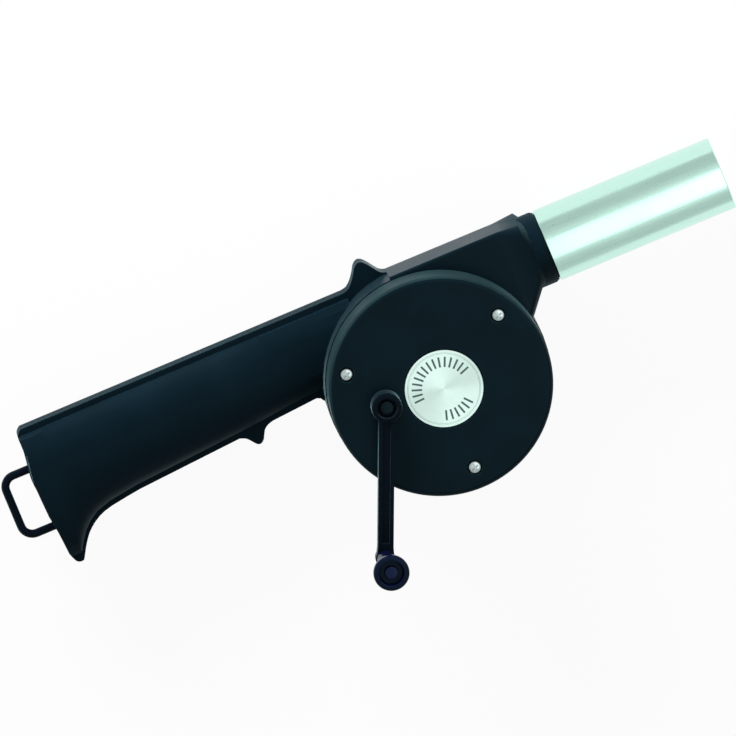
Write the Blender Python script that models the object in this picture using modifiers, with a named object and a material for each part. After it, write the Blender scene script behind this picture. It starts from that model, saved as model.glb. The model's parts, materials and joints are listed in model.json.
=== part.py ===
"""Hand-cranked barbecue blower.

The blower lies on its flat back. X runs along the blow tube, Z is up and is the direction of every
shaft, and the origin is on the impeller's axis in the plane of the flat back. All sizes are metres.
"""

import math

import bmesh
import bpy
from mathutils import Matrix, Vector

# Walls and clearances
WALL = 0.0020
FIT = 0.0003                  # gap between pieces that touch
RUNNING_GAP = 0.0010          # least gap between a turning piece and what it passes
OVERLAP = 0.0010              # how far a cutting shape runs past the face it opens
ROUND_SIDES = 24              # facets on hubs, bushes and the knob
HOLE_SIDES = 10               # facets on screws, pins, posts and their holes
DRUM_SIDES = 48               # facets on the drum, the cover and the tube

# Housing heights, from the flat back
PARTING_HEIGHT = 0.0180       # joint between the two housing shells, and the tube's axis
DRUM_TOP = 0.0340             # gear deck, level with the face of the nozzle block
COVER_TOP = 0.0470            # face of the gear cover
DRUM_RADIUS = 0.0433
DRUM_BACK_ROUND = 0.0030
DRUM_BACK_DRAW = 0.0037       # how much narrower the drum is at its back than at the parting plane

# Blow tube and the nozzle block that carries it
TUBE_DIAMETER = 0.0286
TUBE_WALL = 0.0010
TUBE_LENGTH = 0.0722
TUBE_SETBACK = 0.0006         # its upper line below the drum's
MOUTH_REACH = 0.0142          # end face of the nozzle block, beyond the drum
BLOCK_START_X = -0.0024       # the block's upper side leaves the drum here
BLOCK_RAMP_START = 0.0325      # behind the mouth, where its lower side starts sloping inside the drum
BLOCK_RAMP_MIDDLE = 0.0215
BLOCK_SHOULDER = 0.0160        # behind the mouth, where its upper side starts sloping to the collar
BLOCK_STEP = 0.0010           # how far its upper side stands out past the drum
AIR_WAY_START = 0.0375         # its hollow, behind the mouth
AIR_WAY_END = 0.0145
SPIGOT_LENGTH = 0.0200
SPIGOT_WALL = 0.0016
COLLAR_LENGTH = 0.0071
COLLAR_EASE = 0.0007          # rounding of the collar's end
SHOULDER_LENGTH = 0.0029      # slope from the block down to its collar
BLOCK_LOW_ROUND = 0.0040
BLOCK_TOP_ROUND = 0.0009
TROUGH_DEPTH = 0.0155         # back half of the block, below the parting plane
TROUGH_LOW_ROUND = 0.0115
TONGUE_SLOPE = math.radians(49.7)
TONGUE_RISE = 0.0023          # the lower side meets the collar this far above the tube's lowest line
TONGUE_FLOOR_DROP = 0.0124    # floor of the air way, below the tube's axis

# Grip, with x measured from the line down the drum's left side
GRIP_LENGTH = 0.1144
GRIP_TOP_AT_END = -0.0014     # its upper side, from the drum's upper line
GRIP_TOP_AT_DRUM = -0.0009
GRIP_CROWN = 0.0140           # rise of each grip half from the parting plane
NECK_CROWN = 0.0088           # the same where the grip meets the drum
NECK_START_X = -0.0047
NECK_END_X = -0.0327
GRIP_LEDGE = 0.0018           # narrow flat rim round the crowned part
RIM_HEIGHT = 0.0034           # height of that rim on each half
RIM_STEP = 0.0004             # how far the rim stands out beyond the crowned part's ends
GRIP_END_ROUND = 0.0040
CROWN_POWER = 2.6

# Plan of the grip: its corner at the drum, the fin behind the finger, the palm side with the
# horn, the end face and the fin on top of the drum. x is measured from the line down the drum's
# left side, and from the end of the grip for the horn, the end face and the ring. y is measured
# from the line along the drum's top.
NECK_CORNER = ((0.0283, -0.0373), (0.0013, -0.0373), (0.0000, -0.0366), (-0.0008, -0.0353),
               (-0.0023, -0.0347), (-0.0057, -0.0350))
FINGER_FIN = ((-0.0207, -0.0362), (-0.0229, -0.0368), (-0.0250, -0.0383), (-0.0267, -0.0415),
              (-0.0284, -0.0427), (-0.0299, -0.0422), (-0.0314, -0.0403), (-0.0330, -0.0386),
              (-0.0352, -0.0377))
PALM_START = ((0.0233, -0.0327), (-0.0021, -0.0347))
HORN_EDGE = ((0.0368, -0.0409), (0.0246, -0.0427), (0.0187, -0.0446), (0.0145, -0.0474),
             (0.0118, -0.0502), (0.0092, -0.0540), (0.0072, -0.0575))
HORN_TIP = ((0.0072, -0.0575), (0.0064, -0.0582), (0.0050, -0.0581), (0.0037, -0.0571),
            (0.0024, -0.0538))
END_FACE = ((0.0024, -0.0538), (0.0016, -0.0433), (0.0007, -0.0373), (0.0003, -0.0263),
            (0.0000, -0.0213), (0.0008, -0.0153), (0.0014, -0.0103), (0.0014, -0.0048),
            (0.0021, -0.0026), (0.0036, -0.0014))
TOP_FIN = ((0.0218, -0.0008), (0.0243, -0.0003), (0.0267, 0.0018), (0.0287, 0.0046),
           (0.0298, 0.0065), (0.0313, 0.0078), (0.0328, 0.0080), (0.0343, 0.0070),
           (0.0360, 0.0049), (0.0380, 0.0020), (0.0395, 0.0008), (0.0411, 0.0003))
GRIP_ROOT = ((0.0417, -0.0053), (0.0283, -0.0133))
RIB_POSITIONS = (-0.0327, -0.0757)
RIB_THICKNESS = 0.0014
RIB_CLEAR = 0.0040            # ribs of the two halves stay this far from the parting plane

# Hanging ring, trapped between the halves at the end of the grip
LOOP_THICKNESS = 0.0032
LOOP_OUTER = -0.0105
LOOP_INNER = 0.0086
LOOP_LOW_Y = -0.0420
LOOP_HIGH_Y = -0.0177
LOOP_CORNER = 0.0046
LOOP_HIDDEN_CORNER = 0.0030   # corners of the end inside the grip
LOOP_SEAT_WALL = 0.0040       # extra thickness of the grip's end wall, which holds the ring's legs

# Gear cover
COVER_SETBACK = 0.0004        # how far the cover's skirt is inside the drum's wall
COVER_EDGE_ROUND = 0.0020
REGISTER_HEIGHT = 0.0020      # ring on the deck that centres the cover
REGISTER_WALL = 0.0014
LABEL_RADIUS = 0.0151
LABEL_THICKNESS = 0.0004
LABEL_RECESS = 0.0005
LABEL_CENTRE = (0.0007, -0.0010)
LABEL_SIDES = 32

# Screws
SHANK_RADIUS = 0.0013
HEAD_RADIUS = 0.0025
HEAD_HEIGHT = 0.0017
HEAD_CLEAR = 0.0004
COVER_SCREWS = ((0.0067, 149.5), (0.0083, 29.6), (0.0092, -90.0))   # inset from the drum's wall, angle
COVER_SCREW_LENGTH = 0.0120
COVER_HEAD_SINK = 0.0015
COVER_POST_RADIUS = 0.0028
DECK_POST_HEIGHT = 0.0060
BODY_SCREW_LENGTH = 0.0145
BODY_POST_WALL = 0.0010
END_SCREW = (0.0152, -0.0243)     # the screw nearest the end, measured from the end face
GRIP_SCREWS = ((-0.0537, -0.0203), (-0.0097, -0.0183))
GRIP_SCREW_SEAT = 0.0100
DRUM_SCREW_INSET = 0.0041     # the drum's screws from its outer wall
DRUM_SCREW_ANGLES = (-50.0, -130.0)
TONGUE_SCREW_BACK = 0.0140    # the nozzle block's screw behind the mouth
TONGUE_SCREW_DROP = 0.0160    # and below the tube's axis
DRUM_SCREW_SEAT = 0.0080

# Gear train
MODULE = 0.0008
PRESSURE = math.radians(20.0)
BACKLASH = 0.00014
ADDENDUM = 1.0
DEDENDUM = 1.25
FLANK_STEPS = 2
DRIVE_TEETH = 36
IDLER_PINION_TEETH = 12
IDLER_WHEEL_TEETH = 36
IMPELLER_TEETH = 10
SLOW_SHIFT = 0.32             # profile shift of the crank pair, in modules
FAST_SHIFT = 0.40             # profile shift of the impeller pair, in modules
GEAR_WIDTH = 0.0040
WHEEL_WIDTH = 0.0028
WHEEL_LIFT = 0.0012           # underside of the idler wheel above the deck
CRANK_INSET = 0.0211          # the crank's axis from the drum's wall
CRANK_SIDE = 0.0023           # and towards the tube's side of the drum's middle

# Shafts and bushes
CRANK_SHAFT_RADIUS = 0.0020
IMPELLER_SHAFT_RADIUS = 0.0015
IDLER_PIN_RADIUS = 0.0015
BUSH_WALL = 0.0013
BUSH_FLANGE = 0.0011
BUSH_RIM = 0.0006
DECK_WALL = 0.0020
DECK_BOSS_DEPTH = 0.0025      # bearing bosses below the gear deck
HUB_BOSS_HEIGHT = 0.0088
SHAFT_END_CLEAR = 0.0003

# Impeller
IMPELLER_CLEAR = 0.0093       # its rim from the drum's wall, which leaves room for the screw posts
IMPELLER_EYE = 0.0110
IMPELLER_HUB = 0.0058
IMPELLER_PLATE = 0.0014
IMPELLER_BACK_CLEAR = 0.0030  # blade edges above the back wall
BLADE_COUNT = 10
BLADE_THICKNESS = 0.0013
BLADE_SWEEP = math.radians(38.0)

# Intake grille
GRILLE_HUB = 0.0100
GRILLE_SLOT = 0.0031
GRILLE_BAR = 0.0022
GRILLE_RINGS = 3
GRILLE_SPOKES = 6
GRILLE_SPOKE_WIDTH = 0.0030

# Crank
CRANK_THROW = 0.0586
CRANK_ANGLE = math.radians(-112.55)
CRANK_GAP = 0.0012            # underside of the crank hub above the cover
HUB_RADIUS = 0.0059
HUB_HEIGHT = 0.0072
HUB_RECESS_RADIUS = 0.0040
HUB_RECESS_DEPTH = 0.0026
ARM_WIDTH = 0.0060
ARM_THICKNESS = 0.0040
ARM_LIFT = 0.0024             # underside of the arm above the underside of the hub
ARM_END_RADIUS = 0.0038
ARM_GROOVE_WIDTH = 0.0030
ARM_GROOVE_DEPTH = 0.0007
FLAT_DEPTH = 0.0005           # driving flat on the crank shaft

# Knob, slim at the arm and swelling to a round head
KNOB_RADIUS = 0.0069
KNOB_NECK = 0.0030
KNOB_BASE = 0.0034
KNOB_LENGTH = 0.0260
KNOB_EDGE_ROUND = 0.0014
KNOB_RECESS_RADIUS = 0.0047
KNOB_RECESS_DEPTH = 0.0030
KNOB_FLANK_STEPS = 5
KNOB_PIN_RADIUS = 0.0014
KNOB_PIN_HEAD = 0.0027
KNOB_PIN_HEAD_HEIGHT = 0.0012
RIVET_RADIUS = 0.0026
RIVET_HEIGHT = 0.0009


# Scene

def clear_scene():
    for thing in list(bpy.data.objects):
        bpy.data.objects.remove(thing, do_unlink=True)
    for group in list(bpy.data.collections):
        bpy.data.collections.remove(group)


def add_collection(name):
    group = bpy.data.collections.new(name)
    bpy.context.scene.collection.children.link(group)
    return group


def material(name, colour, roughness, metallic):
    made = bpy.data.materials.new(name)
    made.use_nodes = True
    shader = made.node_tree.nodes["Principled BSDF"]
    shader.inputs["Base Color"].default_value = (*colour, 1.0)
    shader.inputs["Roughness"].default_value = roughness
    shader.inputs["Metallic"].default_value = metallic
    return made


def axis_empty(name, x, y, parent=None):
    """An empty that stands on a turning body's axis."""
    empty = bpy.data.objects.new(name, None)
    empty.empty_display_size = 0.01
    empty.parent = parent
    empty.location = (x, y, 0.0)
    parts.objects.link(empty)
    return empty


def keep(thing, name, finish, axis=None):
    """Turn a built shape into a named piece of the blower, on the axis it was drawn about."""
    cutters.objects.unlink(thing)
    parts.objects.link(thing)
    thing.name = name
    thing.data.name = name
    thing.hide_render = False
    thing.display_type = "TEXTURED"
    thing.data.materials.clear()
    thing.data.materials.append(finish)
    thing.parent = axis
    return thing


# Basic shapes

def shape(name, mesh, location=(0.0, 0.0, 0.0)):
    thing = bpy.data.objects.new(name, mesh)
    thing.location = location
    thing.hide_render = True
    thing.display_type = "WIRE"
    cutters.objects.link(thing)
    return thing


def mesh_shape(name, bm, location=(0.0, 0.0, 0.0), smooth=False):
    bmesh.ops.recalc_face_normals(bm, faces=bm.faces)
    mesh = bpy.data.meshes.new(name)
    bm.to_mesh(mesh)
    bm.free()
    if smooth:
        mesh.shade_smooth()
        mesh.set_sharp_from_angle(angle=math.radians(35.0))
    return shape(name, mesh, location)


def cylinders(name, places, sides=ROUND_SIDES):
    """Upright cylinders that don't touch, each given as (x, y, radius, low, high)."""
    bm = bmesh.new()
    for x, y, radius, low, high in places:
        middle = Matrix.Translation((x, y, (low + high) / 2))
        bmesh.ops.create_cone(bm, cap_ends=True, segments=sides, radius1=radius, radius2=radius,
                              depth=high - low, matrix=middle)
    return mesh_shape(name, bm)


def cone(name, low_radius, high_radius, low, high):
    """An upright round solid on the impeller's axis that narrows towards its lower end."""
    bm = bmesh.new()
    bmesh.ops.create_cone(bm, cap_ends=True, segments=DRUM_SIDES, radius1=low_radius, radius2=high_radius,
                          depth=high - low, matrix=Matrix.Translation((0.0, 0.0, (low + high) / 2)))
    return mesh_shape(name, bm)


def tube_bore(name, radius, start_x, end_x):
    """A cylinder along the blow tube's axis."""
    bm = bmesh.new()
    along_x = Matrix.Rotation(math.radians(90.0), 4, "Y")
    middle = Matrix.Translation(((start_x + end_x) / 2, tube_axis_y(), PARTING_HEIGHT))
    bmesh.ops.create_cone(bm, cap_ends=True, segments=ROUND_SIDES, radius1=radius, radius2=radius,
                          depth=end_x - start_x, matrix=middle @ along_x)
    return mesh_shape(name, bm)


def boxes(name, spans):
    """Boxes that don't touch, each given as ((x0, x1), (y0, y1), (z0, z1))."""
    bm = bmesh.new()
    for span in spans:
        centre = Vector([(low + high) / 2 for low, high in span])
        size = [high - low for low, high in span]
        place = Matrix.Translation(centre) @ Matrix.Diagonal((*size, 1.0))
        bmesh.ops.create_cube(bm, size=1.0, matrix=place)
    return mesh_shape(name, bm)


def prism(name, outlines, low, high):
    """Flat outlines, one or several that don't touch, raised from low to high."""
    curve = bpy.data.curves.new(name, "CURVE")
    curve.dimensions = "2D"
    curve.fill_mode = "BOTH"
    curve.extrude = (high - low) / 2
    for outline in outlines:
        spline = curve.splines.new("POLY")
        spline.points.add(len(outline) - 1)
        for point, (x, y) in zip(spline.points, outline):
            point.co = (x, y, 0.0, 1.0)
        spline.use_cyclic_u = True
    drawn = bpy.data.objects.new(name, curve)
    bpy.context.scene.collection.objects.link(drawn)
    mesh = bpy.data.meshes.new_from_object(drawn.evaluated_get(bpy.context.evaluated_depsgraph_get()))
    bpy.data.objects.remove(drawn, do_unlink=True)
    bpy.data.curves.remove(curve)
    bm = bmesh.new()
    bm.from_mesh(mesh)
    bpy.data.meshes.remove(mesh)
    bmesh.ops.remove_doubles(bm, verts=bm.verts, dist=0.000001)
    bmesh.ops.dissolve_limit(bm, angle_limit=math.radians(0.5), verts=bm.verts, edges=bm.edges)
    bmesh.ops.translate(bm, verts=bm.verts, vec=(0.0, 0.0, (low + high) / 2))
    return mesh_shape(name, bm)


def turned(name, profile, at=(0.0, 0.0, 0.0), sides=ROUND_SIDES, closed=False):
    """A round piece: a profile of (radius, height) points swept about an upright axis.

    The profile runs down its outer side. An open one starts and ends on the axis.
    """
    mesh = bpy.data.meshes.new(name)
    vertices = [(radius, 0.0, height) for radius, height in profile]
    edges = [(index, index + 1) for index in range(len(profile) - 1)]
    if closed:
        edges.append((len(profile) - 1, 0))
    mesh.from_pydata(vertices, edges, [])
    thing = shape(name, mesh, at)
    sweep = thing.modifiers.new("sweep", "SCREW")
    sweep.axis = "Z"
    sweep.steps = sides
    sweep.render_steps = sides
    sweep.use_merge_vertices = True
    sweep.merge_threshold = 0.00001
    sweep.use_smooth_shade = True
    return thing


def corner(centre_r, centre_z, radius, start, end, steps=3):
    """Points of an arc in a turned profile, angles in degrees."""
    points = []
    for step in range(steps + 1):
        angle = math.radians(start + (end - start) * step / steps)
        points.append((centre_r + radius * math.cos(angle), centre_z + radius * math.sin(angle)))
    return points


def loft(name, sections):
    """A solid through cross-sections that have equal numbers of points."""
    bm = bmesh.new()
    rings = [[bm.verts.new(point) for point in section] for section in sections]
    for ring, following in zip(rings, rings[1:]):
        for index in range(len(ring)):
            after = (index + 1) % len(ring)
            bm.faces.new((ring[index], ring[after], following[after], following[index]))
    bm.faces.new(rings[0])
    bm.faces.new(rings[-1])
    return mesh_shape(name, bm)


def boolean(thing, other, operation):
    step = thing.modifiers.new(other.name, "BOOLEAN")
    step.solver = "EXACT"
    step.operation = operation
    step.object = other
    other.parent = thing
    return thing


def cut(thing, *others):
    for other in others:
        boolean(thing, other, "DIFFERENCE")
    return thing


def join(thing, *others):
    for other in others:
        boolean(thing, other, "UNION")
    return thing


def trim(thing, other):
    return boolean(thing, other, "INTERSECT")


def interpolate(points, x):
    """Height of a polyline at x. The points run towards lower x."""
    for (x0, y0), (x1, y1) in zip(points, points[1:]):
        if x >= x1:
            return y0 + (y1 - y0) * (x - x0) / (x1 - x0)
    return points[-1][1]


def smooth_line(points, steps=4):
    """Points of a smooth curve through the given ones."""
    result = []
    for index in range(len(points) - 1):
        before = Vector(points[max(index - 1, 0)])
        start = Vector(points[index])
        end = Vector(points[index + 1])
        after = Vector(points[min(index + 2, len(points) - 1)])
        for step in range(steps):
            t = step / steps
            place = 0.5 * (2 * start + (end - before) * t
                           + (2 * before - 5 * start + 4 * end - after) * t * t
                           + (3 * start - before - 3 * end + after) * t * t * t)
            result.append(tuple(place))
    result.append(tuple(points[-1]))
    return result


def inset(outline, distance):
    """A closed outline that runs clockwise, moved inwards by a small distance."""
    result = []
    for index, point in enumerate(outline):
        here = Vector(point)
        arriving = (here - Vector(outline[index - 1])).normalized()
        leaving = (Vector(outline[(index + 1) % len(outline)]) - here).normalized()
        along = (arriving + leaving).normalized()
        inward = Vector((along.y, -along.x))
        result.append(tuple(here + inward * (distance / max(along.dot(leaving), 0.5))))
    return result


def polar(radius, degrees):
    angle = math.radians(degrees)
    return radius * math.cos(angle), radius * math.sin(angle)


def beside_drum(points):
    """Plan points measured from the drum's left side and top, put in the blower's frame."""
    return [(x - DRUM_RADIUS, DRUM_RADIUS + y) for x, y in points]


def at_end(points):
    """Plan points measured from the end of the grip, measured from the drum's left side instead."""
    return [(x - GRIP_LENGTH, y) for x, y in points]


def palm_edge():
    return [*PALM_START, *at_end(HORN_EDGE)]


def grip_screw_places():
    return beside_drum([*at_end([END_SCREW]), *GRIP_SCREWS])


def mouth_x():
    return DRUM_RADIUS + MOUTH_REACH


def impeller_radius():
    return DRUM_RADIUS - IMPELLER_CLEAR


def tube_axis_y():
    return DRUM_RADIUS - TUBE_SETBACK - TUBE_DIAMETER / 2


# Grip

def grip_top(x):
    share = -x / GRIP_LENGTH
    return DRUM_RADIUS + GRIP_TOP_AT_DRUM + (GRIP_TOP_AT_END - GRIP_TOP_AT_DRUM) * share


def grip_low(x):
    return DRUM_RADIUS + interpolate(palm_edge(), x) + GRIP_LEDGE


def grip_crown(x):
    """Rise of a grip half at x: low at the neck, full along the grip, eased at the end face."""
    share = min(max((NECK_START_X - x) / (NECK_START_X - NECK_END_X), 0.0), 1.0)
    ease = share * share * (3 - 2 * share)
    rise = NECK_CROWN + (GRIP_CROWN - NECK_CROWN) * ease
    from_end = max(x + GRIP_LENGTH, 0.0)
    if from_end < GRIP_END_ROUND:
        drop = GRIP_END_ROUND - math.sqrt(GRIP_END_ROUND ** 2 - (GRIP_END_ROUND - from_end) ** 2)
        rise -= 0.6 * drop
    return rise


def grip_section(x, inset, side, steps=8):
    """Cross-section of a grip half: a crown that is flatter than a half ellipse.

    Like every shape that makes a housing half, it runs well past the parting plane.
    """
    low = grip_low(x) + inset
    high = grip_top(x) - GRIP_LEDGE - inset
    rise = grip_crown(x) - inset
    past = GRIP_CROWN - inset
    place = x - DRUM_RADIUS
    points = [(place, low, PARTING_HEIGHT - side * past)]
    for step in range(steps + 1):
        angle = math.pi * (1 - step / steps)
        across = math.copysign(abs(math.cos(angle)) ** (2 / CROWN_POWER), math.cos(angle))
        up = abs(math.sin(angle)) ** (2 / CROWN_POWER)
        y = (low + high) / 2 + across * (high - low) / 2
        points.append((place, y, PARTING_HEIGHT + side * rise * up))
    points.append((place, high, PARTING_HEIGHT - side * past))
    return points


def grip_loft(name, inset, side, end_x):
    step = (NECK_END_X - NECK_START_X) / 4
    stations = [PALM_START[0][0]] + [NECK_START_X + step * count for count in range(5)]
    stations += [x for x, _ in at_end(HORN_EDGE)]
    stations += [GRIP_END_ROUND * share - GRIP_LENGTH for share in (0.8, 0.4, 0.1, 0.0)]
    stations.append(-GRIP_LENGTH - OVERLAP)
    kept = [x for x in stations if x > end_x] + [end_x]
    return loft(name, [grip_section(x, inset, side) for x in kept])


def grip_outline():
    """Plan outline of the grip with its finger fin, pommel horn and top fin."""
    palm = at_end(smooth_line([*HORN_EDGE[:-1], *HORN_TIP], 2))
    end_face = at_end(smooth_line(END_FACE, 2))
    finger_fin, top_fin = smooth_line(FINGER_FIN, 2), smooth_line(TOP_FIN, 2)
    return beside_drum([*NECK_CORNER, *finger_fin, *palm[:-1], *end_face, *top_fin, *GRIP_ROOT])


def grip_half(side):
    """Outer solid of a grip half: a flat rim with the fins, and the crowned part on it."""
    outline = grip_outline()
    rim = prism("grip_rim", [outline], PARTING_HEIGHT - RIM_HEIGHT, PARTING_HEIGHT + RIM_HEIGHT)
    crown = grip_loft("grip_crown", 0.0, side, -GRIP_LENGTH - OVERLAP)
    low, high = PARTING_HEIGHT - DRUM_TOP, PARTING_HEIGHT + DRUM_TOP
    trim(crown, prism("grip_trim", [inset(outline, RIM_STEP)], low, high))
    return rim, crown


def other_half(side):
    """Everything on the far side of the parting plane, with half of the joint's gap."""
    low, high = sorted((PARTING_HEIGHT + side * FIT / 2, PARTING_HEIGHT - side * DRUM_TOP))
    return boxes("other_half", [((-DRUM_TOP * 6, DRUM_TOP * 3), (-DRUM_TOP * 2, DRUM_TOP * 2), (low, high))])


def grip_cavity(side):
    cavity = grip_loft("grip_cavity", WALL, side, WALL + LOOP_SEAT_WALL - GRIP_LENGTH)
    drum = cylinders("drum_keepout", [(0.0, 0.0, DRUM_RADIUS, -OVERLAP, COVER_TOP)], DRUM_SIDES)
    return cut(cavity, drum)


def grip_inside(side, post_radius):
    """Ribs and screw posts of a grip half, cut to end inside its wall."""
    ribs = []
    for x in RIB_POSITIONS:
        ends = [PARTING_HEIGHT + side * height for height in (RIB_CLEAR, GRIP_CROWN + OVERLAP)]
        low, high = sorted(ends)
        across = (grip_low(x), grip_top(x) - GRIP_LEDGE)
        middle = x - DRUM_RADIUS
        ribs.append(((middle - RIB_THICKNESS / 2, middle + RIB_THICKNESS / 2), across, (low, high)))
    low, high = sorted((PARTING_HEIGHT - side * RIB_CLEAR, PARTING_HEIGHT + side * (GRIP_CROWN + OVERLAP)))
    posts = [(x, y, post_radius, low, high) for x, y in grip_screw_places()]
    inside = join(boxes("grip_ribs", ribs), cylinders("grip_posts", posts, HOLE_SIDES))
    return trim(inside, grip_loft("grip_inner_limit", WALL / 2, side, WALL - GRIP_LENGTH))


# Nozzle block

def block_section(x, low, high, rise, low_round, high_round, past, side, steps=4):
    """Cross-section of half the nozzle block: a box with two rounded corners."""
    points = [(x, low, -past)]
    for step in range(steps + 1):
        angle = math.pi * (1 - step / steps / 2)
        points.append((x, low + low_round * (1 + math.cos(angle)),
                       rise - low_round * (1 - math.sin(angle))))
    for step in range(steps + 1):
        angle = math.pi / 2 * (1 - step / steps)
        points.append((x, high - high_round * (1 - math.cos(angle)),
                       rise - high_round * (1 - math.sin(angle))))
    points.append((x, high, -past))
    return [(px, py, PARTING_HEIGHT + side * ph) for px, py, ph in points]


def collar_start():
    return mouth_x() - COLLAR_LENGTH


def block_low(x):
    """Lower side of the nozzle block, which slopes back from the collar to the drum."""
    low = tube_axis_y() - TUBE_DIAMETER / 2 + TONGUE_RISE
    return low + (max(x, mouth_x() - BLOCK_RAMP_START) - collar_start()) * math.tan(TONGUE_SLOPE)


def block_high():
    return DRUM_RADIUS + BLOCK_STEP


def nozzle_block(side):
    """Outer solid of half the nozzle block. Its end dives into the round collar."""
    if side > 0:
        rise, low_round, high_round = DRUM_TOP - PARTING_HEIGHT, BLOCK_LOW_ROUND, BLOCK_TOP_ROUND
    else:
        rise, low_round, high_round = TROUGH_DEPTH, TROUGH_LOW_ROUND, TROUGH_DEPTH
    radius = TUBE_DIAMETER / 2
    past = DRUM_TOP - PARTING_HEIGHT
    sections = []
    behind_mouth = [mouth_x() - back for back in (BLOCK_RAMP_START, BLOCK_RAMP_MIDDLE, BLOCK_SHOULDER)]
    for x in (BLOCK_START_X, *behind_mouth):
        sections.append(block_section(x, block_low(x), block_high(), rise, low_round, high_round, past, side))
    start = collar_start()
    sections.append(block_section(start, block_low(start), tube_axis_y() + radius, (rise + radius) / 2,
                                  radius * 0.4, radius * 0.3, past, side))
    low, high = tube_axis_y() - radius * 0.85, tube_axis_y() + radius * 0.85
    sections.append(block_section(start + SHOULDER_LENGTH, low, high, radius * 0.9,
                                  radius * 0.8, radius * 0.8, radius * 0.9, side))
    return loft("nozzle_block", sections)


def round_half(name, stations, side, steps=7):
    """Half of a round solid along the blow tube's axis, from (x, radius) stations."""
    sections = []
    for x, radius in stations:
        low, high = tube_axis_y() - radius, tube_axis_y() + radius
        sections.append(block_section(x, low, high, radius, radius, radius, radius, side, steps))
    return loft(name, sections)


def collar_half(side):
    """Half of the round collar that the blow tube stands against."""
    radius = TUBE_DIAMETER / 2
    end = mouth_x()
    stations = [(end - AIR_WAY_END, radius), (end - 2 * COLLAR_EASE, radius), (end, radius - COLLAR_EASE)]
    return round_half("collar", stations, side)


def spigot_radius():
    return TUBE_DIAMETER / 2 - TUBE_WALL - FIT


def spigot_half(side):
    radius = spigot_radius()
    return round_half("spigot", [(mouth_x() - OVERLAP, radius), (mouth_x() + SPIGOT_LENGTH, radius)], side)


def air_way(side):
    """Hollow of half the nozzle block, from the fan chamber to the bore of the spigot."""
    if side > 0:
        rise, low_round, high_round = DRUM_TOP - PARTING_HEIGHT - WALL, BLOCK_TOP_ROUND, BLOCK_TOP_ROUND
    else:
        rise, low_round, high_round = TROUGH_DEPTH - WALL, TROUGH_LOW_ROUND - WALL, TROUGH_DEPTH - WALL
    low = tube_axis_y() - TONGUE_FLOOR_DROP
    high = block_high() - WALL
    sections = []
    for x in (mouth_x() - AIR_WAY_START, mouth_x() - AIR_WAY_END):
        sections.append(block_section(x, low, high, rise, low_round, high_round, rise / 2, side))
    return loft("air_way", sections)


def bore():
    start = mouth_x() - AIR_WAY_END - OVERLAP
    return tube_bore("spigot_bore", spigot_radius() - SPIGOT_WALL, start, mouth_x() + SPIGOT_LENGTH + OVERLAP)


# Hanging ring

def loop_path():
    """Middle line of the hanging ring, round its four corners."""
    outer, inner = LOOP_CORNER, LOOP_HIDDEN_CORNER
    corners = ((LOOP_OUTER + outer, LOOP_LOW_Y + outer, outer, 180.0),
               (LOOP_INNER - inner, LOOP_LOW_Y + inner, inner, 270.0),
               (LOOP_INNER - inner, LOOP_HIGH_Y - inner, inner, 0.0),
               (LOOP_OUTER + outer, LOOP_HIGH_Y - outer, outer, 90.0))
    path = []
    for x, y, radius, start in corners:
        for step in range(5):
            dx, dy = polar(radius, start + 90.0 * step / 4)
            path.append((x + dx, y + dy))
    return beside_drum(at_end(path))


def ring_along(name, path, radius, resolution):
    """A closed round bar along a flat path in the parting plane, as a mesh."""
    curve = bpy.data.curves.new(name, "CURVE")
    curve.dimensions = "3D"
    curve.bevel_depth = radius
    curve.bevel_resolution = resolution
    spline = curve.splines.new("POLY")
    spline.points.add(len(path) - 1)
    for point, (x, y) in zip(spline.points, path):
        point.co = (x, y, PARTING_HEIGHT, 1.0)
    spline.use_cyclic_u = True
    drawn = bpy.data.objects.new(name, curve)
    bpy.context.scene.collection.objects.link(drawn)
    mesh = bpy.data.meshes.new_from_object(drawn.evaluated_get(bpy.context.evaluated_depsgraph_get()))
    bpy.data.objects.remove(drawn, do_unlink=True)
    bpy.data.curves.remove(curve)
    bm = bmesh.new()
    bm.from_mesh(mesh)
    bpy.data.meshes.remove(mesh)
    bmesh.ops.remove_doubles(bm, verts=bm.verts, dist=0.000001)
    return mesh_shape(name, bm, smooth=True)


def loop_seats():
    """Holes in the end of the grip for the two legs of the hanging ring."""
    bm = bmesh.new()
    along_x = Matrix.Rotation(math.radians(90.0), 4, "Y")
    for y in (LOOP_LOW_Y, LOOP_HIGH_Y):
        start = -OVERLAP
        end = LOOP_INNER - LOOP_HIDDEN_CORNER + OVERLAP
        place = beside_drum(at_end([((start + end) / 2, y)]))[0]
        middle = Matrix.Translation((*place, PARTING_HEIGHT))
        radius = LOOP_THICKNESS / 2 + FIT
        bmesh.ops.create_cone(bm, cap_ends=True, segments=HOLE_SIDES, radius1=radius, radius2=radius,
                              depth=end - start, matrix=middle @ along_x)
    return mesh_shape("loop_seats", bm)


# Places worked out from the sizes above

def crank_axis():
    return CRANK_INSET - DRUM_RADIUS, CRANK_SIDE


def slow_distance():
    return MODULE * (DRIVE_TEETH + IDLER_PINION_TEETH) / 2


def fast_distance():
    return MODULE * (IDLER_WHEEL_TEETH + IMPELLER_TEETH) / 2


def idler_axis():
    """Where both gear pairs have their proper centre distance, on the tube's side of the crank."""
    crank = Vector(crank_axis())
    towards = crank.normalized()
    beside = Vector((towards.y, -towards.x))
    along = (fast_distance() ** 2 - slow_distance() ** 2 + crank.length ** 2) / (2 * crank.length)
    return tuple(towards * along + beside * math.sqrt(fast_distance() ** 2 - along ** 2))


def knob_offset():
    """Knob axis, measured from the crank's axis."""
    return CRANK_THROW * math.cos(CRANK_ANGLE), CRANK_THROW * math.sin(CRANK_ANGLE)


def cover_radius():
    return DRUM_RADIUS - COVER_SETBACK


def cover_inside():
    return COVER_TOP - WALL


def cover_seat():
    """Underside of the cover screws' heads."""
    return COVER_TOP - COVER_HEAD_SINK


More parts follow.
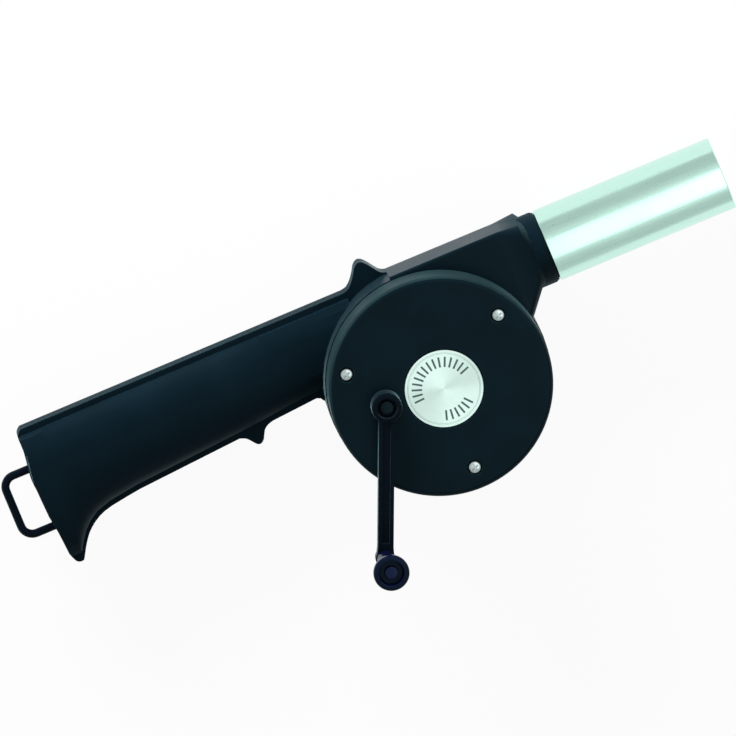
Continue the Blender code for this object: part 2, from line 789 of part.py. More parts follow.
def cover_screw_places():
    return [polar(DRUM_RADIUS - back, angle) for back, angle in COVER_SCREWS]


def drum_screw_places():
    return [polar(DRUM_RADIUS - DRUM_SCREW_INSET, angle) for angle in DRUM_SCREW_ANGLES]


def tongue_screw_place():
    return mouth_x() - TONGUE_SCREW_BACK, tube_axis_y() - TONGUE_SCREW_DROP


def body_screws():
    """Every housing screw as (x, y, height of the seat under its head)."""
    grip = [(x, y, GRIP_SCREW_SEAT) for x, y in grip_screw_places()]
    drum = [(x, y, DRUM_SCREW_SEAT) for x, y in (*drum_screw_places(), tongue_screw_place())]
    return grip + drum


def head_hole():
    return HEAD_RADIUS + HEAD_CLEAR


def shank_hole():
    return SHANK_RADIUS + FIT


def back_post_radius():
    return head_hole() + BODY_POST_WALL


def front_post_radius():
    return shank_hole() + BODY_POST_WALL + FIT


def bush_radius(shaft_radius):
    return shaft_radius + FIT + BUSH_WALL


def wheel_low():
    return DRUM_TOP + WHEEL_LIFT


def drive_low():
    return wheel_low() + WHEEL_WIDTH + RUNNING_GAP + FIT


def drive_high():
    return drive_low() + GEAR_WIDTH


def boss_floor():
    """Lowest point of the bearing bosses below the gear deck."""
    return DRUM_TOP - DECK_WALL - DECK_BOSS_DEPTH


def impeller_top():
    return boss_floor() - RUNNING_GAP


# Housing shells

def front_shell():
    rim, crown = grip_half(1)
    shell = cylinders("front_drum", [(0.0, 0.0, DRUM_RADIUS, 0.0, DRUM_TOP)], DRUM_SIDES)
    join(shell, nozzle_block(1), collar_half(1), rim, crown, spigot_half(1))
    hollow = [(0.0, 0.0, DRUM_RADIUS - WALL, WALL, DRUM_TOP - DECK_WALL)]
    chamber = cylinders("front_chamber", hollow, DRUM_SIDES)
    cut(shell, chamber, air_way(1), bore(), grip_cavity(1))
    join(shell, grip_inside(1, front_post_radius()), front_posts(), deck_bosses(), deck_register())
    holes = [(x, y, shank_hole(), seat, seat + BODY_SCREW_LENGTH + FIT) for x, y, seat in body_screws()]
    cut(shell, cylinders("front_screw_holes", holes, HOLE_SIDES), deck_holes(), loop_seats(), other_half(1))
    return keep(shell, "front_shell", BLACK_PLASTIC)


def front_posts():
    """Screw posts in the fan chamber, and those for the cover screws on the gear deck."""
    low = PARTING_HEIGHT - RIB_CLEAR
    posts = [(x, y, front_post_radius(), low, DRUM_TOP - DECK_WALL / 2) for x, y in drum_screw_places()]
    deck = DRUM_TOP - DECK_WALL / 2
    for x, y in cover_screw_places():
        posts.append((x, y, COVER_POST_RADIUS, deck, DRUM_TOP + DECK_POST_HEIGHT))
    return cylinders("front_posts", posts, HOLE_SIDES)


def deck_bosses():
    """Bearing bosses of the crank, the idler pin and the impeller."""
    crank_x, crank_y = crank_axis()
    idler_x, idler_y = idler_axis()
    crank_boss = bush_radius(CRANK_SHAFT_RADIUS) + FIT + WALL
    impeller_boss = bush_radius(IMPELLER_SHAFT_RADIUS) + FIT + WALL
    pin_boss = IDLER_PIN_RADIUS + FIT + WALL
    top = DRUM_TOP - DECK_WALL / 2
    return cylinders("deck_bosses", [
        (crank_x, crank_y, crank_boss, boss_floor(), top),
        (0.0, 0.0, impeller_boss, boss_floor(), top),
        (idler_x, idler_y, pin_boss, boss_floor(), wheel_low() - FIT)], ROUND_SIDES)


def deck_register():
    """Low ring on the deck that sits inside the cover's skirt."""
    outer = cover_radius() - WALL - FIT
    inner = outer - REGISTER_WALL
    low = DRUM_TOP - DECK_WALL / 2
    high = DRUM_TOP + REGISTER_HEIGHT
    return turned("deck_register", [(outer, high), (outer, low), (inner, low), (inner, high)],
                  sides=DRUM_SIDES, closed=True)


def deck_holes():
    """Bush seats, pin hole and the pilot holes of the cover screws."""
    crank_x, crank_y = crank_axis()
    idler_x, idler_y = idler_axis()
    floor = boss_floor() + DECK_WALL * 0.75
    above = DRUM_TOP + OVERLAP
    holes = [
        (crank_x, crank_y, bush_radius(CRANK_SHAFT_RADIUS) + FIT, floor, above),
        (0.0, 0.0, bush_radius(IMPELLER_SHAFT_RADIUS) + FIT, boss_floor() - OVERLAP, above),
        (idler_x, idler_y, IDLER_PIN_RADIUS + FIT, floor, wheel_low() + OVERLAP)]
    for x, y in cover_screw_places():
        end = cover_seat() - COVER_SCREW_LENGTH - FIT
        holes.append((x, y, shank_hole(), end, DRUM_TOP + DECK_POST_HEIGHT + OVERLAP))
    return cylinders("deck_holes", holes, HOLE_SIDES)


def drum_back_radius(height):
    """Radius of the drum's drawn-in back half at a height."""
    return DRUM_RADIUS - DRUM_BACK_DRAW * (1 - height / PARTING_HEIGHT)


def rear_shell():
    rim, crown = grip_half(-1)
    top = DRUM_TOP - DECK_WALL
    shell = cone("rear_drum", drum_back_radius(0.0), drum_back_radius(top), 0.0, top)
    rounding = shell.modifiers.new("back_round", "BEVEL")
    rounding.width = DRUM_BACK_ROUND
    rounding.segments = 3
    rounding.limit_method = "ANGLE"
    rounding.angle_limit = math.radians(60.0)
    join(shell, nozzle_block(-1), collar_half(-1), rim, crown, spigot_half(-1), tongue_post())
    inside = [drum_back_radius(height) - WALL for height in (WALL, DRUM_TOP)]
    cut(shell, cone("rear_chamber", *inside, WALL, DRUM_TOP), air_way(-1), bore(), grip_cavity(-1))
    join(shell, grip_inside(-1, back_post_radius()), back_posts(), hub_boss())
    holes = [(x, y, shank_hole(), seat - OVERLAP, PARTING_HEIGHT + seat) for x, y, seat in body_screws()]
    heads = [(x, y, head_hole(), -OVERLAP, seat) for x, y, seat in body_screws()]
    cut(shell, cylinders("rear_screw_holes", holes, HOLE_SIDES),
        cylinders("rear_head_holes", heads, HOLE_SIDES))
    cut(shell, hub_bore(), grille(), loop_seats(), other_half(-1))
    return keep(shell, "rear_shell", BLACK_PLASTIC)


def tongue_post():
    """Screw tower beside the nozzle block, outside the air way."""
    x, y = tongue_screw_place()
    low = PARTING_HEIGHT - TROUGH_DEPTH + WALL
    return cylinders("tongue_post", [(x, y, back_post_radius(), low, PARTING_HEIGHT + RIB_CLEAR)], HOLE_SIDES)


def back_posts():
    top = PARTING_HEIGHT + RIB_CLEAR
    posts = [(x, y, back_post_radius(), WALL / 2, top) for x, y in drum_screw_places()]
    return cylinders("back_posts", posts, HOLE_SIDES)


def hub_boss():
    radius = bush_radius(IMPELLER_SHAFT_RADIUS) + FIT + WALL
    return cylinders("hub_boss", [(0.0, 0.0, radius, WALL / 2, HUB_BOSS_HEIGHT)], ROUND_SIDES)


def hub_bore():
    radius = bush_radius(IMPELLER_SHAFT_RADIUS) + FIT
    return cylinders("hub_bore", [(0.0, 0.0, radius, WALL * 0.75, HUB_BOSS_HEIGHT + OVERLAP)], ROUND_SIDES)


def grille():
    """Curved intake slots in rings round the hub, parted by straight spokes."""
    slots = []
    for ring in range(GRILLE_RINGS):
        inner = GRILLE_HUB + ring * (GRILLE_SLOT + GRILLE_BAR)
        outer = inner + GRILLE_SLOT
        middle = (inner + outer) / 2
        sector = 2 * math.pi / GRILLE_SPOKES
        half = sector / 2 - (GRILLE_SPOKE_WIDTH + GRILLE_SLOT) / 2 / middle
        for spoke in range(GRILLE_SPOKES):
            slots.append(slot_outline(middle, (spoke + 0.5) * sector, half, GRILLE_SLOT / 2))
    return prism("grille", slots, -OVERLAP, WALL + OVERLAP)


def slot_outline(radius, centre, half, half_width):
    """A curved slot with round ends."""
    points = []
    steps = 3
    for step in range(steps + 1):
        angle = centre - half + 2 * half * step / steps
        points.append(((radius + half_width) * math.cos(angle), (radius + half_width) * math.sin(angle)))
    points += slot_end(radius, centre + half, half_width, 1)
    for step in range(steps + 1):
        angle = centre + half - 2 * half * step / steps
        points.append(((radius - half_width) * math.cos(angle), (radius - half_width) * math.sin(angle)))
    points += slot_end(radius, centre - half, half_width, -1)
    return points


def slot_end(radius, angle, half_width, direction):
    """The two points that round off one end of a curved slot."""
    middle = Vector((radius * math.cos(angle), radius * math.sin(angle)))
    outward = Vector((math.cos(angle), math.sin(angle)))
    onward = Vector((-math.sin(angle), math.cos(angle))) * direction
    points = []
    for turn in (35.0, 90.0, 145.0):
        share = math.radians(turn)
        reach = outward * (math.cos(share) * direction) + onward * math.sin(share)
        points.append(tuple(middle + reach * half_width))
    return points


# Gear cover and what is on it

def gear_cover():
    low = DRUM_TOP + FIT
    outer = cover_radius()
    inner = outer - WALL
    outside = corner(outer - COVER_EDGE_ROUND, COVER_TOP - COVER_EDGE_ROUND, COVER_EDGE_ROUND, 90.0, 0.0)
    profile = [(0.0, COVER_TOP), *outside, (outer, low), (inner, low), (inner, cover_inside()),
               (0.0, cover_inside())]
    cover = turned("cover_cup", profile, sides=DRUM_SIDES)
    crank_x, crank_y = crank_axis()
    idler_x, idler_y = idler_axis()
    top = COVER_TOP - WALL / 2
    post_low = DRUM_TOP + DECK_POST_HEIGHT + FIT
    posts = [(x, y, COVER_POST_RADIUS, post_low, top) for x, y in cover_screw_places()]
    bush = bush_radius(CRANK_SHAFT_RADIUS) + FIT
    posts.append((crank_x, crank_y, bush + WALL * 0.6, drive_high() + FIT, top))
    posts.append((idler_x, idler_y, IDLER_PIN_RADIUS + FIT + WALL, drive_high() + FIT, top))
    posts.append((0.0, 0.0, IMPELLER_SHAFT_RADIUS + FIT + WALL, shaft_socket_low(), top))
    join(cover, cylinders("cover_posts", posts, HOLE_SIDES))
    sink = cover_inside() + WALL * 0.25
    holes = [(x, y, shank_hole(), post_low - OVERLAP, COVER_TOP + OVERLAP) for x, y in cover_screw_places()]
    holes.append((crank_x, crank_y, bush, drive_high() - OVERLAP, COVER_TOP + OVERLAP))
    holes.append((idler_x, idler_y, IDLER_PIN_RADIUS + FIT, drive_high() - OVERLAP, sink))
    holes.append((0.0, 0.0, IMPELLER_SHAFT_RADIUS + FIT, shaft_socket_low() - OVERLAP, sink))
    heads = [(x, y, head_hole(), cover_seat(), COVER_TOP + OVERLAP) for x, y in cover_screw_places()]
    x, y = LABEL_CENTRE
    seat = [(x, y, LABEL_RADIUS + FIT, COVER_TOP - LABEL_RECESS, COVER_TOP + OVERLAP)]
    cut(cover, cylinders("cover_holes", holes, HOLE_SIDES), cylinders("cover_head_holes", heads, HOLE_SIDES),
        cylinders("label_seat", seat, LABEL_SIDES))
    return keep(cover, "gear_cover", BLACK_PLASTIC)


def shaft_socket_low():
    """Underside of the cover's socket for the end of the impeller shaft."""
    return wheel_low() + GEAR_WIDTH + FIT


def centre_label():
    x, y = LABEL_CENTRE
    low = COVER_TOP - LABEL_RECESS + FIT / 3
    disc = cylinders("label", [(0.0, 0.0, LABEL_RADIUS, low, low + LABEL_THICKNESS)], LABEL_SIDES)
    disc.location = (x, y, 0.0)
    return keep(disc, "centre_label", LABEL_FINISH)


# Screws

def screw(name, x, y, seat, length, direction=1, radius=SHANK_RADIUS, head_radius=HEAD_RADIUS):
    """A pan-head screw on its seat. Direction is 1 with the head on top, -1 with the head below."""
    rounding = HEAD_HEIGHT * 0.55
    head = corner(head_radius - rounding, HEAD_HEIGHT - rounding, rounding, 90.0, 0.0, 2)
    taper = radius * 1.2
    profile = [(0.0, HEAD_HEIGHT), *head, (head_radius, FIT), (radius, FIT),
               (radius, taper - length), (radius * 0.35, -length), (0.0, -length)]
    thing = turned(name, profile, (x, y, seat), sides=HOLE_SIDES)
    if direction < 0:
        thing.rotation_euler = (math.pi, 0.0, 0.0)
    return thing


def screws():
    for number, (x, y) in enumerate(cover_screw_places(), 1):
        name = f"cover_screw_{number}"
        keep(screw(name, x, y, cover_seat(), COVER_SCREW_LENGTH), name, BRIGHT_STEEL)
    for number, (x, y, seat) in enumerate(body_screws(), 1):
        name = f"body_screw_{number}"
        keep(screw(name, x, y, seat, BODY_SCREW_LENGTH, -1), name, BRIGHT_STEEL)


# Blow tube and hanging ring

def nozzle_tube():
    """A plain metal tube over the spigot, its end against the nozzle block."""
    outer = TUBE_DIAMETER / 2
    inner = outer - TUBE_WALL
    low = mouth_x() + FIT
    high = low + TUBE_LENGTH
    profile = [(outer, high), (outer, low), (inner, low), (inner, high)]
    tube = turned("nozzle_tube", profile, (0.0, tube_axis_y(), PARTING_HEIGHT), sides=DRUM_SIDES, closed=True)
    tube.rotation_euler = (0.0, math.radians(90.0), 0.0)
    return keep(tube, "nozzle_tube", BARE_METAL)


def hanging_loop():
    ring = ring_along("hanging_loop", loop_path(), LOOP_THICKNESS / 2, 2)
    return keep(ring, "hanging_loop", BLACK_PLASTIC)


# Bushes and the fixed pin

def bush(name, x, y, shaft_radius, low, high, rim=0.0):
    """A plain bearing bush, with a rim at its top where the rim is not zero."""
    inner = shaft_radius + FIT
    outer = inner + BUSH_WALL
    if rim:
        profile = [(outer + BUSH_FLANGE, high), (outer + BUSH_FLANGE, high - rim), (outer, high - rim)]
    else:
        profile = [(outer, high)]
    profile += [(outer, low), (inner, low), (inner, high)]
    return keep(turned(name, profile, (x, y, 0.0), sides=HOLE_SIDES * 2, closed=True), name, BRASS)


def bushes():
    crank_x, crank_y = crank_axis()
    floor = boss_floor() + DECK_WALL * 0.75
    bush("crank_bush_rear", crank_x, crank_y, CRANK_SHAFT_RADIUS, floor + FIT, DRUM_TOP + BUSH_RIM)
    bush("crank_bush_front", crank_x, crank_y, CRANK_SHAFT_RADIUS, drive_high() + FIT,
         COVER_TOP + FIT + BUSH_RIM, BUSH_RIM)
    bush("impeller_bush_rear", 0.0, 0.0, IMPELLER_SHAFT_RADIUS, WALL * 0.75 + FIT, HUB_BOSS_HEIGHT)
    bush("impeller_bush_front", 0.0, 0.0, IMPELLER_SHAFT_RADIUS, boss_floor(), DRUM_TOP + BUSH_RIM)


def idler_pin():
    x, y = idler_axis()
    low = boss_floor() + DECK_WALL * 0.75 + SHAFT_END_CLEAR
    high = cover_inside() + WALL * 0.25 - SHAFT_END_CLEAR
    pin = cylinders("idler_pin", [(0.0, 0.0, IDLER_PIN_RADIUS, low, high)], HOLE_SIDES)
    pin.location = (x, y, 0.0)
    return keep(pin, "idler_pin", BRIGHT_STEEL)


# Gears

def involute(angle):
    return math.tan(angle) - angle


def gear_outline(teeth, shift, tooth_angle):
    """Closed outline of an involute gear with one tooth centred on tooth_angle."""
    pitch = MODULE * teeth / 2
    base = pitch * math.cos(PRESSURE)
    tip = pitch + MODULE * (ADDENDUM + shift)
    root = pitch - MODULE * (DEDENDUM - shift)
    width = MODULE * (math.pi / 2 + 2 * shift * math.tan(PRESSURE)) - BACKLASH
    half_at_pitch = width / 2 / pitch
    start = max(base, root)
    flank = []
    for step in range(FLANK_STEPS + 1):
        radius = start + (tip - start) * step / FLANK_STEPS
        half = half_at_pitch + involute(PRESSURE) - involute(math.acos(min(base / radius, 1.0)))
        flank.append((radius, half))
    if root < start:
        flank.insert(0, (root, flank[0][1]))
    points = []
    for tooth in range(teeth):
        centre = tooth_angle + 2 * math.pi * tooth / teeth
        for radius, half in flank:
            points.append((radius * math.cos(centre - half), radius * math.sin(centre - half)))
        for radius, half in reversed(flank):
            points.append((radius * math.cos(centre + half), radius * math.sin(centre + half)))
    return points


def mesh_angles():
    """Tooth angles at rest: (drive gear, idler pinion, idler wheel, impeller pinion)."""
    crank_x, crank_y = crank_axis()
    idler_x, idler_y = idler_axis()
    to_idler = math.atan2(idler_y - crank_y, idler_x - crank_x)
    to_impeller = math.atan2(-idler_y, -idler_x)
    return (to_idler, to_idler + math.pi + math.pi / IDLER_PINION_TEETH,
            to_impeller, to_impeller + math.pi + math.pi / IMPELLER_TEETH)


def drive_gear(axis):
    outline = gear_outline(DRIVE_TEETH, -SLOW_SHIFT, mesh_angles()[0])
    gear = prism("drive_gear", [outline], drive_low(), drive_high())
    hub = CRANK_SHAFT_RADIUS + FIT + WALL * 0.5
    hub_low = DRUM_TOP + BUSH_RIM + FIT
    join(gear, cylinders("drive_hub", [(0.0, 0.0, hub, hub_low, drive_low() + GEAR_WIDTH / 2)], ROUND_SIDES))
    holes = [(0.0, 0.0, CRANK_SHAFT_RADIUS + FIT, hub_low - OVERLAP, drive_high() + OVERLAP)]
    reach = (MODULE * DRIVE_TEETH / 2 + hub) / 2
    for step in range(5):
        x, y = polar(reach, 90.0 + 72.0 * step)
        holes.append((x, y, reach * 0.33, drive_low() - OVERLAP, drive_high() + OVERLAP))
    cut(gear, cylinders("drive_holes", holes, HOLE_SIDES))
    return keep(gear, "drive_gear", WHITE_PLASTIC, axis)


def idler_gear(axis):
    angles = mesh_angles()
    low = wheel_low()
    outline = gear_outline(IDLER_WHEEL_TEETH, -FAST_SHIFT, angles[2])
    wheel = prism("idler_wheel", [outline], low, low + WHEEL_WIDTH)
    pinion = prism("idler_pinion", [gear_outline(IDLER_PINION_TEETH, SLOW_SHIFT, angles[1])],
                   low + WHEEL_WIDTH / 2, drive_high())
    join(wheel, pinion)
    hole = (0.0, 0.0, IDLER_PIN_RADIUS + FIT, low - OVERLAP, drive_high() + OVERLAP)
    cut(wheel, cylinders("idler_hole", [hole], HOLE_SIDES))
    return keep(wheel, "idler_gear", WHITE_PLASTIC, axis)


def impeller_pinion(axis):
    low = DRUM_TOP + BUSH_RIM + FIT
    high = shaft_socket_low() - FIT
    gear = prism("impeller_pinion", [gear_outline(IMPELLER_TEETH, FAST_SHIFT, mesh_angles()[3])], low, high)
    hole = (0.0, 0.0, IMPELLER_SHAFT_RADIUS + FIT, low - OVERLAP, high + OVERLAP)
    cut(gear, cylinders("impeller_pinion_hole", [hole], HOLE_SIDES))
    return keep(gear, "impeller_pinion", BRASS, axis)


# Impeller

def blade_outline(angle):
    """One blade that sweeps back from the eye to the rim."""
    steps = 4
    front = []
    back = []
    for step in range(steps + 1):
        share = step / steps
        radius = IMPELLER_EYE + (impeller_radius() - IMPELLER_EYE) * share
        turn = angle + BLADE_SWEEP * share
        half = BLADE_THICKNESS / 2 / radius
        front.append((radius * math.cos(turn - half), radius * math.sin(turn - half)))
        back.append((radius * math.cos(turn + half), radius * math.sin(turn + half)))
    return front + back[::-1]


def impeller(axis):
    low = WALL + IMPELLER_BACK_CLEAR
    high = impeller_top()
    plate_low = high - IMPELLER_PLATE
    hub_low = HUB_BOSS_HEIGHT + FIT
    hub_base = IMPELLER_EYE * 0.95
    profile = [(0.0, high), (impeller_radius(), high), (impeller_radius(), plate_low), (hub_base, plate_low),
               (IMPELLER_HUB, plate_low - WALL * 1.6), (IMPELLER_HUB, hub_low), (0.0, hub_low)]
    wheel = turned("impeller", profile, sides=DRUM_SIDES)
    blades = [blade_outline(2 * math.pi * blade / BLADE_COUNT) for blade in range(BLADE_COUNT)]
    join(wheel, prism("blades", blades, low, plate_low + IMPELLER_PLATE / 2))
    hole = (0.0, 0.0, IMPELLER_SHAFT_RADIUS + FIT, hub_low - OVERLAP, high + OVERLAP)
    cut(wheel, cylinders("impeller_hole", [hole], HOLE_SIDES))
    return keep(wheel, "impeller", GREY_PLASTIC, axis)


def impeller_shaft(axis):
    low = WALL * 0.75 + SHAFT_END_CLEAR
    high = cover_inside() + WALL * 0.25 - SHAFT_END_CLEAR
    shaft = cylinders("impeller_shaft", [(0.0, 0.0, IMPELLER_SHAFT_RADIUS, low, high)], HOLE_SIDES)
    return keep(shaft, "impeller_shaft", BRIGHT_STEEL, axis)


# Crank

def hub_low():
    return COVER_TOP + CRANK_GAP


def hub_floor():
    """Bottom of the recess in the crank hub, where the screw's head sits."""
    return hub_low() + HUB_HEIGHT - HUB_RECESS_DEPTH


def arm_low():
    return hub_low() + ARM_LIFT


def arm_high():
    return arm_low() + ARM_THICKNESS


def flat_cutter(name, radius, low, high):
    """Removes the side of a shaft, or of what cuts its bore, beyond the driving flat."""
    edge = radius - FLAT_DEPTH
    return boxes(name, [((-radius * 2, radius * 2), (edge, radius * 2), (low, high))])


def crank_shaft(axis):
    low = boss_floor() + DECK_WALL * 0.75 + SHAFT_END_CLEAR
    high = hub_floor() - FIT
    shaft = cylinders("crank_shaft", [(0.0, 0.0, CRANK_SHAFT_RADIUS, low, high)], HOLE_SIDES)
    cut(shaft, flat_cutter("shaft_flat", CRANK_SHAFT_RADIUS, hub_low(), high + OVERLAP))
    thread = [(0.0, 0.0, crank_screw_hole(), hub_low() - WALL, high + OVERLAP)]
    cut(shaft, cylinders("shaft_thread", thread, HOLE_SIDES))
    return keep(shaft, "crank_shaft", BRIGHT_STEEL, axis)


def crank_screw_radius():
    return CRANK_SHAFT_RADIUS * 0.45


def crank_screw_hole():
    return crank_screw_radius() + FIT / 2


def arm_outline():
    """Plan outline of the crank arm: straight sides with a round end under the knob."""
    end = Vector(knob_offset())
    along = end.normalized()
    across = Vector((-along.y, along.x))
    half = ARM_WIDTH / 2
    reach = math.sqrt(ARM_END_RADIUS ** 2 - half ** 2) + ARM_WIDTH * 0.35
    points = [across * half, -across * half, end - along * reach - across * half]
    for step in range(13):
        turn = math.radians(-122.0 + 244.0 * step / 12)
        points.append(end + (along * math.cos(turn) + across * math.sin(turn)) * ARM_END_RADIUS)
    points.append(end - along * reach + across * half)
    return [tuple(point) for point in points]


def crank_arm(axis):
    pin_x, pin_y = knob_offset()
    arm = prism("crank_arm", [arm_outline()], arm_low(), arm_high())
    top = hub_low() + HUB_HEIGHT
    rounding = CRANK_GAP
    edge = corner(HUB_RADIUS - rounding, top - rounding, rounding, 90.0, 0.0)
    join(arm, turned("crank_hub", [(0.0, top), *edge, (HUB_RADIUS, hub_low()), (0.0, hub_low())]))
    cut(arm, arm_groove())
    bore_radius = CRANK_SHAFT_RADIUS + FIT
    bore = [(0.0, 0.0, bore_radius, hub_low() - OVERLAP, hub_floor() + OVERLAP)]
    bore_shape = cylinders("hub_bore_round", bore, HOLE_SIDES)
    cut(bore_shape, flat_cutter("hub_bore_flat", bore_radius, hub_low() - 2 * OVERLAP, top))
    recess = cylinders("hub_recess", [(0.0, 0.0, HUB_RECESS_RADIUS, hub_floor(), top + OVERLAP)], ROUND_SIDES)
    pin_hole = (pin_x, pin_y, KNOB_PIN_RADIUS + FIT, arm_low() - OVERLAP, arm_high() + OVERLAP)
    cut(arm, bore_shape, recess, cylinders("knob_pin_hole", [pin_hole], HOLE_SIDES))
    return keep(arm, "crank_arm", BLACK_PLASTIC, axis)


def arm_groove():
    """Shallow channel along the top of the arm."""
    start = HUB_RADIUS - OVERLAP
    end = CRANK_THROW - ARM_END_RADIUS - ARM_WIDTH * 0.35
    along = Vector(knob_offset()).normalized()
    across = Vector((-along.y, along.x)) * ARM_GROOVE_WIDTH / 2
    corners = [along * start + across, along * start - across, along * end - across, along * end + across]
    return prism("arm_groove", [[tuple(point) for point in corners]], arm_high() - ARM_GROOVE_DEPTH,
                 arm_high() + OVERLAP)


def crank_screw(axis):
    length = hub_floor() - hub_low() + WALL - FIT * 2
    head = HUB_RECESS_RADIUS * 0.72
    made = screw("crank_screw", 0.0, 0.0, hub_floor(), length, 1, crank_screw_radius(), head)
    return keep(made, "crank_screw", BRIGHT_STEEL, axis)


# Knob

def knob_low():
    return arm_high() + FIT


def knob_floor():
    """Bottom of the recess in the knob's face."""
    return knob_low() + KNOB_LENGTH - KNOB_RECESS_DEPTH


def knob_flank(low, high):
    """Side of the knob, from its round head down to the slim neck over the arm."""
    points = []
    for step in range(KNOB_FLANK_STEPS + 1):
        share = step / KNOB_FLANK_STEPS
        swell = (1 + math.cos(math.pi * share ** 0.8)) / 2
        points.append((KNOB_NECK + (KNOB_RADIUS - KNOB_NECK) * swell, high + (low - high) * share))
    return points


def crank_knob(axis):
    low = knob_low()
    high = low + KNOB_LENGTH
    top_edge = corner(KNOB_RADIUS - KNOB_EDGE_ROUND, high - KNOB_EDGE_ROUND, KNOB_EDGE_ROUND, 90.0, 0.0)
    flank = knob_flank(low + KNOB_LENGTH * 0.2, high - KNOB_EDGE_ROUND * 1.6)
    inner = KNOB_PIN_RADIUS + FIT
    profile = [(KNOB_RECESS_RADIUS, high), *top_edge, *flank, (KNOB_BASE, low + FIT), (KNOB_BASE - FIT, low),
               (inner, low), (inner, knob_floor()), (KNOB_RECESS_RADIUS, knob_floor())]
    return keep(turned("crank_knob", profile, closed=True), "crank_knob", GLOSS_PLASTIC, axis)


def knob_pin(axis):
    """A rivet through the arm and the knob: head in the knob's recess, tail under the arm."""
    x, y = knob_offset()
    head_low = knob_floor() + FIT
    head_high = head_low + KNOB_PIN_HEAD_HEIGHT
    rounding = KNOB_PIN_HEAD_HEIGHT * 0.6
    head = corner(KNOB_PIN_HEAD - rounding, head_high - rounding, rounding, 90.0, 0.0, 2)
    tail_high = arm_low() - FIT
    tail_low = tail_high - RIVET_HEIGHT
    profile = [(0.0, head_high), *head, (KNOB_PIN_HEAD, head_low), (KNOB_PIN_RADIUS, head_low),
               (KNOB_PIN_RADIUS, tail_high), (RIVET_RADIUS, tail_high), (RIVET_RADIUS, tail_low),
               (0.0, tail_low)]
    return keep(turned("knob_pin", profile, (x, y, 0.0), sides=HOLE_SIDES), "knob_pin", BRIGHT_STEEL, axis)


# Build

clear_scene()
parts = add_collection("hand_cranked_blower")
cutters = add_collection("cutters")
cutters.hide_render = True

BLACK_PLASTIC = material("black_plastic", (0.012, 0.014, 0.015), 0.42, 0.0)
GLOSS_PLASTIC = material("gloss_black_plastic", (0.010, 0.011, 0.012), 0.16, 0.0)
GREY_PLASTIC = material("grey_plastic", (0.16, 0.17, 0.17), 0.45, 0.0)
WHITE_PLASTIC = material("white_plastic", (0.78, 0.77, 0.72), 0.40, 0.0)
BARE_METAL = material("bare_tube_metal", (0.72, 0.78, 0.75), 0.22, 1.0)
BRIGHT_STEEL = material("bright_steel", (0.74, 0.76, 0.76), 0.24, 1.0)
BRASS = material("brass", (0.72, 0.55, 0.26), 0.30, 1.0)
LABEL_FINISH = material("label_foil", (0.66, 0.74, 0.71), 0.35, 0.8)


def main():
    front_shell()
    rear_shell()
    gear_cover()
    nozzle_tube()
    hanging_loop()
    centre_label()
    screws()
    bushes()
    idler_pin()
    impeller_axis = axis_empty("impeller_axis", 0.0, 0.0)
    impeller(impeller_axis)
    impeller_shaft(impeller_axis)
    impeller_pinion(impeller_axis)
    idler_gear(axis_empty("idler_axis", *idler_axis()))
    turning = axis_empty("crank_axis", *crank_axis())
    crank_shaft(turning)
    drive_gear(turning)
    crank_arm(turning)
    crank_screw(turning)
    knob_pin(turning)
    crank_knob(axis_empty("knob_axis", *knob_offset(), turning))


main()
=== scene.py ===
"""Looks of the hand-cranked blower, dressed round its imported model.

The blower lies on its flat back. X runs along the blow tube, Z is up and is the direction of every
shaft, and the origin is on the impeller's axis. All sizes are metres.
"""

import json
import math

import bmesh
import bpy
from bpy.props import FloatProperty, FloatVectorProperty, IntProperty, PointerProperty
from mathutils import Matrix, Vector

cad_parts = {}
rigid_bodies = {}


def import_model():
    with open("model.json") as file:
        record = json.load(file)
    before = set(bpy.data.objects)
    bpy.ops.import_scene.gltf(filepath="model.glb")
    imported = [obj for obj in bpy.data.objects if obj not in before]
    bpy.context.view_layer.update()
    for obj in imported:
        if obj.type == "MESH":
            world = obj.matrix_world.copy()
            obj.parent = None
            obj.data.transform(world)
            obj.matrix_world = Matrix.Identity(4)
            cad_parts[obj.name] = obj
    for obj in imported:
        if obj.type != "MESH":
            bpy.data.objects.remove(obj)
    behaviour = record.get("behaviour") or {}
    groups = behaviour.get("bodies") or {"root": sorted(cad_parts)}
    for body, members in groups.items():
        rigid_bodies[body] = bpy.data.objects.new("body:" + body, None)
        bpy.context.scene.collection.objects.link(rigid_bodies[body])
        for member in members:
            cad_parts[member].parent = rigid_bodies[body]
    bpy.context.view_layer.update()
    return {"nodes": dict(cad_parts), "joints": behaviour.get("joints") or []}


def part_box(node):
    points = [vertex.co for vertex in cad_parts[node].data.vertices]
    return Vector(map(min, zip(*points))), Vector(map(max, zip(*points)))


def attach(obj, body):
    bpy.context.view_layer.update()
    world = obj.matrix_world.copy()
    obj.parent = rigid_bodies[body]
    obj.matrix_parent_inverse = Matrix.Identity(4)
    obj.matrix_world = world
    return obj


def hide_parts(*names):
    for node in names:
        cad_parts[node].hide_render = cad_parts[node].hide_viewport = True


bl_info = {
    "name": "Hand-cranked blower",
    "version": (1, 0, 0),
    "blender": (4, 5, 0),
    "location": "View3D > Sidebar > Blower",
    "description": "Dresses the packed model of a hand-cranked blower and sets up its studio",
    "category": "Object",
}

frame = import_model()
NODES = frame["nodes"]
JOINTS = {joint["name"]: Vector(joint["pos_m"]) for joint in frame["joints"]}

SIDEBAR = "Blower"
COVER_SCREWS = [f"cover_screw_{number}" for number in (1, 2, 3)]
BODY_SCREWS = [f"body_screw_{number}" for number in range(1, 7)]

